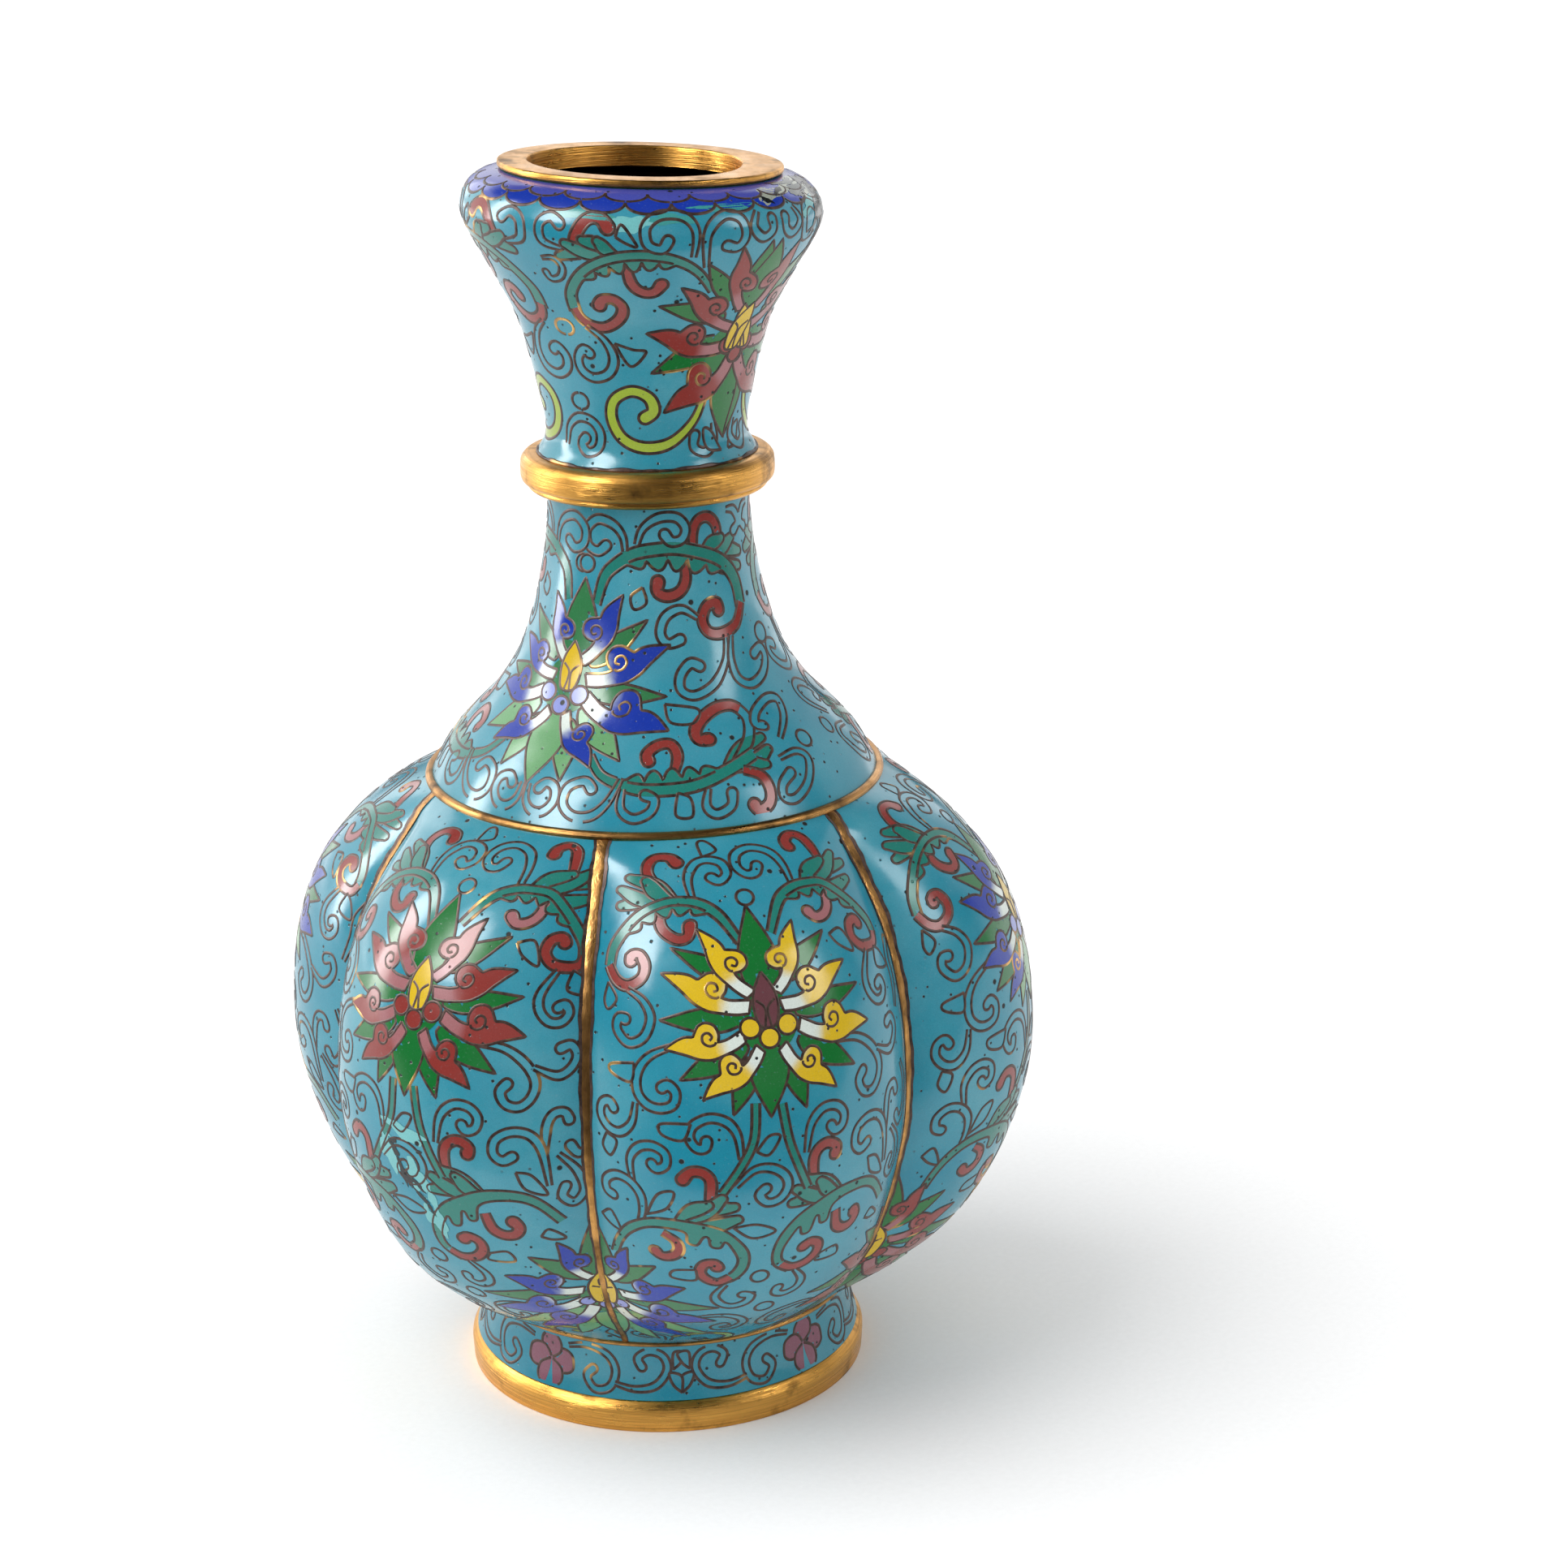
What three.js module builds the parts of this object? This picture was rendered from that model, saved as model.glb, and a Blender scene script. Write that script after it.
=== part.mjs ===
// A lobed bottle vase in cloisonne enamel on copper, with gilt mounts.
// Millimetres, +Z up. The origin is the centre of the foot's underside, and the middle of one
// lobe faces -Y. Every layer is its own solid: copper walls, enamel skins laid on them, and the
// gilt rings and wires that close their edges.
import * as THREE from 'three';
import { mergeVertices } from 'three/addons/utils/BufferGeometryUtils.js';

// ---------------------------------------------------------------- driving dimensions
const TURN = 2 * Math.PI;
const LOBES = 6;
const LOBE_ANGLE = TURN / LOBES;

const ENAMEL = 0.8; // thickness of an enamel skin
const GAP = 0.3; // clearance kept between touching pieces
const COPPER = 1.2; // thickness of the beaten copper wall
const WALL_TOP = ENAMEL + GAP; // depth of the copper's outer face below the enamel's surface
const WALL_BOTTOM = WALL_TOP + COPPER;

const MOUTH_Z = 200.0; // top of the mouth ring
const MOUTH_OUTER = 22.0;
const MOUTH_INNER = 17.3;
const MOUTH_PLATE = 1.2; // thickness of its flat flange
const MOUTH_LIP = 6.5; // depth of the lip turned down inside the mouth
const MOUTH_TILT = THREE.MathUtils.degToRad(2.2); // the mouth has been pushed down on one side
const TILT_FROM_Z = 165.0; // the neck is true below this height
const TILT_FACING = THREE.MathUtils.degToRad(72); // direction of the low side, from -Y to +X

const COLLAR_BOTTOM = 149.5;
const COLLAR_TOP = 155.3;
const COLLAR_OUTER = 20.0;

const SHOULDER_Z = 102.9; // gilt fillet between the neck and the lobed body
const SHOULDER_R = 36.3;
const FILLET_R = 0.65; // section radius of the shoulder fillet

const BODY_BOTTOM_Z = 15.0;
const FLOOR_SHARE = 0.84; // flat part of the bowl, as a share of its lowest row
const BODY_SEAM_Z = 60.0; // the two beaten halves of the body meet here
const GROOVE_WIRE = 1.3; // width of the gilt wire in each groove
const GROOVE_WIRE_PROUD = 0.35;
const GROOVE_WIRE_SUNK = 0.25; // it lies in the V between two lobes, clear of the copper

const FOOT_FILLET_R = 0.4;
const FOOT_RING_TOP = 5.2;
const FOOT_RING_OUTER = 33.2;
const FOOT_RING_INNER = 28.9;

const TURN_STEPS = 32; // facets round a turned piece
const LOBE_STEPS = 8; // facets across one lobe
const ROWS = 9; // rows of facets up one half of the body

// Outer surface of each zone as [radius, height], joined by a smooth curve.
const UPPER_NECK = [
  [16.9, 156.1], [15.9, 158.0], [15.9, 161.0], [17.1, 167.0], [19.5, 176.0], [22.5, 182.2], [26.2, 188.6],
];
const SCALE_BAND = [
  [26.4, 189.0], [27.7, 191.8], [27.8, 194.2], [26.6, 196.6], [24.6, 198.0], [22.4, 198.4],
];
const LOWER_NECK = [
  [15.8, 149.2], [16.3, 142.0], [17.3, 136.0], [18.8, 129.8], [21.4, 122.8], [25.0, 117.2],
  [29.4, 112.6], [33.0, 108.5], [35.4, 104.2],
];
const FOOT_WALL = [[31.0, 14.2], [30.9, 11.5], [31.4, 8.0], [32.1, 5.6]];

// Body: radius over the middle of a lobe, and how far the grooves are sunk, as a share of it.
const LOBE_RADIUS = [
  [31.0, 15.0], [36.6, 18.2], [43.6, 23.0], [51.2, 30.5], [57.2, 41.0], [60.9, 53.0], [61.6, 63.0],
  [60.2, 75.0], [56.2, 86.0], [50.0, 94.0], [43.2, 99.5], [36.3, 102.9],
];
const GROOVE_DEPTH = [
  [0.0, 15.0], [0.075, 17.5], [0.125, 24.0], [0.155, 38.0], [0.157, 60.0], [0.157, 80.0],
  [0.15, 92.0], [0.11, 98.5], [0.0, 102.9],
];

// ---------------------------------------------------------------- curves and surfaces
function smooth(points) {
  return new THREE.SplineCurve(points.map(([r, z]) => new THREE.Vector2(r, z)));
}

// Value of a [value, height] curve at a height.
function valueAt(points, z) {
  const last = points.length - 1;
  let i = 0;
  while (i < last - 1 && z > points[i + 1][1]) i += 1;
  const slope = (k) => {
    const before = points[Math.max(k - 1, 0)];
    const after = points[Math.min(k + 1, last)];
    return (after[0] - before[0]) / (after[1] - before[1]);
  };
  const span = points[i + 1][1] - points[i][1];
  const t = THREE.MathUtils.clamp((z - points[i][1]) / span, 0, 1);
  const rise = (1 - t) * (1 - t);
  const fall = t * t;
  return points[i][0] * rise * (1 + 2 * t) + slope(i) * span * t * rise
    + points[i + 1][0] * fall * (3 - 2 * t) - slope(i + 1) * span * (1 - t) * fall;
}

// Radius of the lobed body at an angle from the middle of a lobe: each lobe is an arc of a
// circle that runs from groove to groove.
function lobedRadius(angle, z) {
  const crest = valueAt(LOBE_RADIUS, z);
  const groove = crest * (1 - Math.max(valueAt(GROOVE_DEPTH, z), 0));
  const half = LOBE_ANGLE / 2;
  const turned = ((((angle + half) % LOBE_ANGLE) + LOBE_ANGLE) % LOBE_ANGLE) - half;
  const centre = (crest ** 2 - groove ** 2) / (2 * (crest - groove * Math.cos(half)));
  const arc = crest - centre;
  return centre * Math.cos(turned) + Math.sqrt(arc ** 2 - (centre * Math.sin(turned)) ** 2);
}

function lobedSurface(angle, z) {
  const radius = lobedRadius(angle, z);
  return new THREE.Vector3(radius * Math.sin(angle), -radius * Math.cos(angle), z);
}

function lobedNormal(angle, z) {
  const turn = 0.001;
  const low = Math.max(z - 0.05, BODY_BOTTOM_Z);
  const high = Math.min(z + 0.05, SHOULDER_Z);
  const across = lobedSurface(angle + turn, z).sub(lobedSurface(angle - turn, z));
  const up = lobedSurface(angle, high).sub(lobedSurface(angle, low));
  return across.cross(up).normalize();
}

// Point at a depth below the lobed surface. In a groove the two lobes' offsets meet in a mitre.
function lobedPoint(angle, z, depth) {
  const beside = 0.003;
  const left = lobedNormal(angle - beside, z);
  const mitre = lobedNormal(angle + beside, z).add(left).normalize();
  return lobedSurface(angle, z).addScaledVector(mitre, -depth / mitre.dot(left));
}

// Height of each row, closer together where the surface runs nearly level.
function rowHeights(from, to, count, levelEnd) {
  const heights = [];
  for (let i = 0; i <= count; i += 1) {
    const t = i / count;
    const eased = levelEnd === 'low' ? t ** 1.6 : 1 - (1 - t) ** 1.6;
    heights.push(from + (to - from) * eased);
  }
  return heights;
}

// ---------------------------------------------------------------- solids
function solidFrom(vertices, faces) {
  const geometry = new THREE.BufferGeometry();
  geometry.setAttribute('position', new THREE.Float32BufferAttribute(vertices.flatMap((v) => v.toArray()), 3));
  geometry.setIndex(faces.flat());
  const merged = mergeVertices(geometry, 1e-4);
  const index = merged.getIndex().array;
  const kept = [];
  for (let i = 0; i < index.length; i += 3) {
    const [a, b, c] = [index[i], index[i + 1], index[i + 2]];
    if (a !== b && b !== c && c !== a) kept.push(a, b, c);
  }
  merged.setIndex(kept);
  return merged;
}

// A closed solid between two grids of points, outer[row][column] and inner[row][column], with
// columns running round from -Y towards +X and rows running up.
function skin(outer, inner, wraps) {
  const rows = outer.length;
  const columns = outer[0].length;
  const vertices = [...outer.flat(), ...inner.flat()];
  const faces = [];
  const at = (layer, row, column) => layer * rows * columns + row * columns + (column % columns);
  const quad = (a, b, c, d) => faces.push([a, b, c], [a, c, d]);
  const spans = wraps ? columns : columns - 1;
  for (let j = 0; j < spans; j += 1) {
    for (let i = 0; i < rows - 1; i += 1) {
      quad(at(0, i, j), at(0, i, j + 1), at(0, i + 1, j + 1), at(0, i + 1, j));
      quad(at(1, i, j + 1), at(1, i, j), at(1, i + 1, j), at(1, i + 1, j + 1));
    }
    const top = rows - 1;
    quad(at(0, top, j), at(0, top, j + 1), at(1, top, j + 1), at(1, top, j));
    quad(at(1, 0, j), at(1, 0, j + 1), at(0, 0, j + 1), at(0, 0, j));
  }
  if (!wraps) {
    const end = columns - 1;
    for (let i = 0; i < rows - 1; i += 1) {
      quad(at(1, i, 0), at(0, i, 0), at(0, i + 1, 0), at(1, i + 1, 0));
      quad(at(0, i, end), at(1, i, end), at(1, i + 1, end), at(0, i + 1, end));
    }
  }
  return solidFrom(vertices, faces);
}

// Lobed layer between two depths, over given rows and angles.
function lobedSkin(heights, anglesAt, depthOut, depthIn, wraps) {
  const layer = (depth) => heights.map((z) => anglesAt(z).map((a) => lobedPoint(a, z, depth)));
  return skin(layer(depthOut), layer(depthIn), wraps);
}

function anglesRound() {
  const count = LOBES * LOBE_STEPS;
  return Array.from({ length: count }, (_, i) => (TURN * i) / count);
}

// A turned piece, stood up along +Z, from the points of its section as [radius, height]. They
// run anticlockwise, and either close on themselves or start and end on the axis.
function lathed(points) {
  const outline = points.map(([r, z]) => new THREE.Vector2(r, z));
  return new THREE.LatheGeometry(outline, TURN_STEPS).rotateX(Math.PI / 2);
}

function turned(section) {
  return lathed([...section, section[0]]);
}

// Section of a layer of a turned wall, between two depths below its outer surface.
function wallSection(outline, steps, depthOut, depthIn) {
  const curve = smooth(outline);
  const side = (depth) => curve.getSpacedPoints(steps).map((point, i) => {
    const tangent = curve.getTangentAt(i / steps);
    const outward = new THREE.Vector2(tangent.y, -tangent.x);
    if (outward.x < 0) outward.negate();
    return [point.x - outward.x * depth, point.y - outward.y * depth];
  });
  const outer = side(depthOut);
  const inner = side(depthIn);
  const rising = outer[0][1] < outer[outer.length - 1][1];
  if (!rising) {
    outer.reverse();
    inner.reverse();
  }
  return [...outer, ...inner.reverse()];
}

function roundSection(radius, height, size, sides) {
  return Array.from({ length: sides }, (_, i) => {
    const angle = (TURN * i) / sides;
    return [radius + size * Math.cos(angle), height + size * Math.sin(angle)];
  });
}

// The knocked mouth: everything above TILT_FROM_Z leans down towards one side.
function tilted(geometry) {
  const position = geometry.getAttribute('position');
  const facing = new THREE.Vector2(Math.sin(TILT_FACING), -Math.cos(TILT_FACING));
  for (let i = 0; i < position.count; i += 1) {
    const z = position.getZ(i);
    const share = THREE.MathUtils.smoothstep(z, TILT_FROM_Z, MOUTH_Z);
    const along = position.getX(i) * facing.x + position.getY(i) * facing.y;
    position.setZ(i, z - along * Math.tan(MOUTH_TILT) * share);
  }
  return geometry;
}

// ---------------------------------------------------------------- materials
const FINISHES = {
  gilt: { color: 0xb8862f, roughness: 0.35, metalness: 1.0 },
  copper: { color: 0x6b3f26, roughness: 0.55, metalness: 1.0 },
  turquoise: { color: 0x2f93ab, roughness: 0.25, metalness: 0.0 },
  cobalt: { color: 0x3440b0, roughness: 0.25, metalness: 0.0 },
};

const vase = new THREE.Group();

function add(name, geometry, finish) {
  const mesh = new THREE.Mesh(geometry, new THREE.MeshStandardMaterial(FINISHES[finish]));
  mesh.name = name;
  vase.add(mesh);
}

// ---------------------------------------------------------------- mouth and upper neck
function mouthRing() {
  const edge = MOUTH_PLATE / 3;
  const under = MOUTH_Z - MOUTH_PLATE;
  const lipInner = MOUTH_INNER;
  const lipOuter = MOUTH_INNER + 1.0;
  return turned([
    [lipInner, MOUTH_Z - MOUTH_LIP], [lipOuter, MOUTH_Z - MOUTH_LIP], [lipOuter, under],
    [MOUTH_OUTER - edge, under], [MOUTH_OUTER, under + edge], [MOUTH_OUTER, MOUTH_Z - edge],
    [MOUTH_OUTER - edge, MOUTH_Z], [lipInner + edge, MOUTH_Z], [lipInner, MOUTH_Z - edge],
  ]);
}

function upperNeckShell() {
  const joint = (COLLAR_BOTTOM + COLLAR_TOP) / 2 + GAP / 2;
  const waist = UPPER_NECK[1][0];
  const outline = [[waist, joint], ...UPPER_NECK.slice(1), ...SCALE_BAND.slice(1)];
  return turned(wallSection(outline, 10, WALL_TOP, WALL_BOTTOM));
}

add('mouth_ring', tilted(mouthRing()), 'gilt');
add('upper_neck_shell', tilted(upperNeckShell()), 'copper');
add('scale_band_enamel', tilted(turned(wallSection(SCALE_BAND, 4, 0, ENAMEL))), 'cobalt');
add('upper_neck_enamel', tilted(turned(wallSection(UPPER_NECK, 6, 0, ENAMEL))), 'turquoise');

// ---------------------------------------------------------------- collar and lower neck
function neckCollar() {
  const bore = UPPER_NECK[1][0] - WALL_TOP + GAP;
  const bead = COLLAR_OUTER;
  return turned([
    [bore, COLLAR_BOTTOM], [bead - 2.2, COLLAR_BOTTOM], [bead - 1.4, COLLAR_BOTTOM + 0.7],
    [bead - 1.3, COLLAR_BOTTOM + 1.4], [bead - 0.4, COLLAR_BOTTOM + 1.9], [bead, COLLAR_BOTTOM + 3.2],
    [bead - 0.3, COLLAR_TOP - 1.2], [bead - 1.2, COLLAR_TOP - 0.3], [bead - 2.4, COLLAR_TOP],
    [bore, COLLAR_TOP],
  ]);
}

function lowerNeckShell() {
  const joint = (COLLAR_BOTTOM + COLLAR_TOP) / 2 - GAP / 2;
  const outline = [[UPPER_NECK[1][0], joint], ...LOWER_NECK];
  return turned(wallSection(outline, 8, WALL_TOP, WALL_BOTTOM));
}

add('neck_collar', neckCollar(), 'gilt');
add('lower_neck_shell', lowerNeckShell(), 'copper');
add('lower_neck_enamel', turned(wallSection(LOWER_NECK, 8, 0, ENAMEL)), 'turquoise');
add('shoulder_fillet', turned(roundSection(SHOULDER_R, SHOULDER_Z, FILLET_R, 6)), 'gilt');

// ---------------------------------------------------------------- lobed body
function bodyUpperShell() {
  const heights = rowHeights(BODY_SEAM_Z + GAP / 2, SHOULDER_Z - GAP - FILLET_R, ROWS, 'high');
  return lobedSkin(heights, anglesRound, WALL_TOP, WALL_BOTTOM, true);
}

// The lower half is a bowl: its rows start on the axis, cross the flat bottom, and climb.
function bodyLowerShell() {
  const heights = rowHeights(BODY_BOTTOM_Z + 2.0, BODY_SEAM_Z - GAP / 2, ROWS, 'low');
  const angles = anglesRound();
  const layer = (depth, floor) => {
    const side = heights.map((z) => angles.map((a) => lobedPoint(a, z, depth)));
    const level = (share) => side[0].map((p) => new THREE.Vector3(p.x * share, p.y * share, floor));
    return [level(0), level(FLOOR_SHARE), ...side];
  };
  const bottom = BODY_BOTTOM_Z;
  return skin(layer(WALL_TOP, bottom), layer(WALL_BOTTOM, bottom + COPPER), true);
}

function lobeEnamel(middle) {
  const low = rowHeights(BODY_BOTTOM_Z + 1.0, BODY_SEAM_Z, ROWS, 'low');
  const high = rowHeights(BODY_SEAM_Z, SHOULDER_Z - FILLET_R - GAP, ROWS, 'high');
  const margin = GROOVE_WIRE / 2 + GAP;
  const anglesAt = (z) => {
    const half = LOBE_ANGLE / 2;
    const reach = half - margin / lobedRadius(half, z);
    return Array.from({ length: LOBE_STEPS + 1 }, (_, i) => middle - reach + (2 * reach * i) / LOBE_STEPS);
  };
  return lobedSkin([...low, ...high.slice(1)], anglesAt, 0, ENAMEL, false);
}

function grooveWire(middle) {
  const low = rowHeights(BODY_BOTTOM_Z + 1.0, BODY_SEAM_Z, ROWS, 'low');
  const high = rowHeights(BODY_SEAM_Z, SHOULDER_Z - FILLET_R - GAP, ROWS, 'high');
  const heights = [...low, ...high.slice(1)];
  const side = new THREE.Vector3(Math.cos(middle), Math.sin(middle), 0);
  const row = (depth) => heights.map((z) => {
    const centre = lobedPoint(middle, z, depth);
    return [-1, 1].map((s) => centre.clone().addScaledVector(side, (s * GROOVE_WIRE) / 2));
  });
  return skin(row(-GROOVE_WIRE_PROUD), row(GROOVE_WIRE_SUNK), false);
}

add('body_upper_shell', bodyUpperShell(), 'copper');
add('body_lower_shell', bodyLowerShell(), 'copper');
for (let i = 0; i < LOBES; i += 1) {
  add(`lobe_enamel_${i + 1}`, lobeEnamel(i * LOBE_ANGLE), 'turquoise');
  add(`groove_wire_${i + 1}`, grooveWire((i + 0.5) * LOBE_ANGLE), 'gilt');
}

// ---------------------------------------------------------------- foot
function footRing() {
  const outer = FOOT_RING_OUTER;
  return turned([
    [FOOT_RING_INNER, 0], [outer - 0.5, 0], [outer - 0.2, 0.4], [outer, 3.6], [outer - 0.5, 4.6],
    [outer - 1.3, FOOT_RING_TOP], [FOOT_RING_INNER, FOOT_RING_TOP],
  ]);
}

function footShell() {
  const outline = [[31.0, 14.4], ...FOOT_WALL.slice(1, -1), [31.9, FOOT_RING_TOP + 1]];
  return turned(wallSection(outline, 2, WALL_TOP, WALL_BOTTOM));
}

function counterEnamel() {
  const radius = FOOT_WALL[0][0] - WALL_BOTTOM - GAP;
  const top = BODY_BOTTOM_Z - GAP;
  const bottom = top - ENAMEL;
  return lathed([[0, bottom], [radius, bottom], [radius, top], [0, top]]);
}

add('foot_fillet', turned(roundSection(31.1, BODY_BOTTOM_Z - 0.1, FOOT_FILLET_R, 6)), 'gilt');
add('foot_shell', footShell(), 'copper');
add('foot_enamel', turned(wallSection(FOOT_WALL, 3, 0, ENAMEL)), 'turquoise');
add('foot_ring', footRing(), 'gilt');
add('base_counter_enamel', counterEnamel(), 'turquoise');

export default vase;
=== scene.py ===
"""A lobed bottle vase in cloisonne enamel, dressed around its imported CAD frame.

Every surface is drawn on a flat chart first, in millimetres, the way the maker draws the pattern
before the wires are bent: x runs across the wall and m runs up along it. A chart then lays the
drawing on the wall. Wires are swept by Geometry Nodes on the flat drawing, and enamel cells are
triangulated on it.
"""
import logging
import math
from abc import ABC, abstractmethod
from dataclasses import dataclass, field, fields, replace
from enum import Enum
from typing import Callable, Iterable, Sequence

import bpy
import numpy as np
from mathutils import Matrix, Vector
from mathutils.geometry import delaunay_2d_cdt


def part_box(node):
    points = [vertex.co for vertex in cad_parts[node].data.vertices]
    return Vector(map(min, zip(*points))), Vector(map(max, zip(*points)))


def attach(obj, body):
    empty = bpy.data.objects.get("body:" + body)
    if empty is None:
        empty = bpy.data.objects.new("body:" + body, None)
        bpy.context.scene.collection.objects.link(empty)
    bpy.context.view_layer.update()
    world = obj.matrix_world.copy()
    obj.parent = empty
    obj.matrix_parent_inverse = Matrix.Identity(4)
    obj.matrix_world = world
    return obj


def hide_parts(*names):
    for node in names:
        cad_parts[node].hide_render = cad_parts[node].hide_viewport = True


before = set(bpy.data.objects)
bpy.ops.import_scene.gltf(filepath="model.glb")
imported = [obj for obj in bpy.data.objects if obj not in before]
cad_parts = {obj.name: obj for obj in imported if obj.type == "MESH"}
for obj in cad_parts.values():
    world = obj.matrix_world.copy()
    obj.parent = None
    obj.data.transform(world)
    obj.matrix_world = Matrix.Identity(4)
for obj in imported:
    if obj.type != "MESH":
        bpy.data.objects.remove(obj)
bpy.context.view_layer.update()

MM = 0.001
TURN = 2 * math.pi
LOBES = 6
LOBE_ANGLE = TURN / LOBES
LOG = logging.getLogger("vase")

Point = tuple[float, float]
Colour = tuple[float, float, float]
Array = np.ndarray
Material = bpy.types.Material
FRONT = math.radians(-17.2)


# ---------- sizes read from the frame
def node_top(node: str) -> float:
    """Height of a CAD node's highest point, in millimetres."""
    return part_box(node)[1][2] / MM


def node_bottom(node: str) -> float:
    """Height of a CAD node's lowest point, in millimetres."""
    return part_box(node)[0][2] / MM


def node_radius(node: str) -> float:
    """Half of a CAD node's width along X, in millimetres."""
    low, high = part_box(node)
    return (high[0] - low[0]) / 2 / MM


# ---------- outlines
def slid(x: Array, m: Array) -> Array:
    """Points of the drawing from where they lie across and up."""
    return np.stack([x, m], -1)


def loop(outline: Array) -> Array:
    """A closed outline's points with the first one again at the end."""
    return np.vstack([outline, outline[:1]])


def mirrored(p: Array) -> Array:
    """Points turned over to the other side of the drawing's middle line."""
    return p * (-1, 1)


def catmull(points: Sequence[Point], per_span: int = 8, closed: bool = False) -> Array:
    """Smooth curve through a few points.

    Args:
        points: The points that the curve passes through.
        per_span: Steps between two neighbouring points.
        closed: Whether the curve joins up with its start.

    Returns:
        The curve's points, one row each.
    """
    p = np.asarray(points, float)
    count = len(p)
    spans = count if closed else count - 1
    t = np.linspace(0, 1, per_span, endpoint=False)[:, None]
    rows = []
    for i in range(spans):
        if closed:
            before, start, end, after = (p[(i + k) % count] for k in (-1, 0, 1, 2))
        else:
            before, start, end, after = (p[min(max(i + k, 0), count - 1)] for k in (-1, 0, 1, 2))
        leave = (end - before) / 2
        arrive = (after - start) / 2
        rows.append((2 * start - 2 * end + leave + arrive) * t ** 3
                    + (3 * end - 3 * start - 2 * leave - arrive) * t ** 2 + leave * t + start)
    if not closed:
        rows.append(p[-1:])
    return np.vstack(rows)


def evenly(path: Array, step: float, closed: bool = False) -> Array:
    """Points at even steps along a path."""
    line = loop(path) if closed else path
    gaps = np.hypot(*np.diff(line, axis=0).T)
    along = np.concatenate([[0.0], np.cumsum(gaps)])
    count = max(2, int(round(along[-1] / step)) + 1)
    at = np.linspace(0, along[-1], count)
    if closed:
        at = at[:-1]
    return np.stack([np.interp(at, along, line[:, k]) for k in (0, 1)], -1)


def axes(root: Point, tip: Point) -> tuple[Array, Array, Array, float]:
    """A root, the direction from it to a tip, the direction to the left of that, and the reach."""
    start = np.array(root, float)
    along = np.array(tip, float) - start
    reach = float(np.linalg.norm(along))
    along /= reach
    return start, along, np.array((-along[1], along[0])), reach


def hermite(knots: Sequence[Point], z: Array) -> Array:
    """Value of a smooth [value, height] curve at given heights."""
    value, height = np.array(knots, float).T
    last = len(height) - 1
    i = np.clip(np.searchsorted(height, z, side="right") - 1, 0, last - 1)
    lower = np.maximum(np.arange(last + 1) - 1, 0)
    upper = np.minimum(np.arange(last + 1) + 1, last)
    slope = (value[upper] - value[lower]) / (height[upper] - height[lower])
    span = height[i + 1] - height[i]
    t = np.clip((z - height[i]) / span, 0, 1)
    rise, fall = (1 - t) ** 2, t ** 2
    return (value[i] * rise * (1 + 2 * t) + slope[i] * span * t * rise
            + value[i + 1] * fall * (3 - 2 * t) - slope[i + 1] * span * (1 - t) * fall)


# ---------- charts
@dataclass
class Knock:
    """The mouth, pushed down on one side: everything above a height leans that way."""

    angle: float = math.radians(2.2)
    facing: float = math.radians(72)
    start: float = 165.0
    top: float = 200.0

    def apply(self, points: Array) -> Array:
        """Rows of x, y, z after the lean."""
        t = np.clip((points[:, 2] - self.start) / (self.top - self.start), 0, 1)
        share = t * t * (3 - 2 * t)
        along = points[:, 0] * math.sin(self.facing) - points[:, 1] * math.cos(self.facing)
        moved = points.copy()
        moved[:, 2] -= along * math.tan(self.angle) * share
        return moved


KNOCK = Knock()


class Chart(ABC):
    """A flat drawing laid on a wall: x across and m up, both in millimetres."""

    @abstractmethod
    def point(self, x: Array, m: Array) -> Array:
        """Places on the wall of points on the drawing."""

    @abstractmethod
    def plumb(self, x: float | Array, m: float | Array, at: Array) -> Array:
        """Where a line drawn straight up the wall through (x, m) passes at other heights."""

    def place(self, x: Array, m: Array, lift: Array | float) -> Array:
        """Places raised off the wall along its normal."""
        step = 0.05
        across = self.point(x + step, m) - self.point(x - step, m)
        up = self.point(x, m + step) - self.point(x, m - step)
        normal = np.cross(across, up)
        normal /= np.linalg.norm(normal, axis=1)[:, None]
        return self.point(x, m) + normal * np.broadcast_to(lift, x.shape)[:, None]


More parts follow.
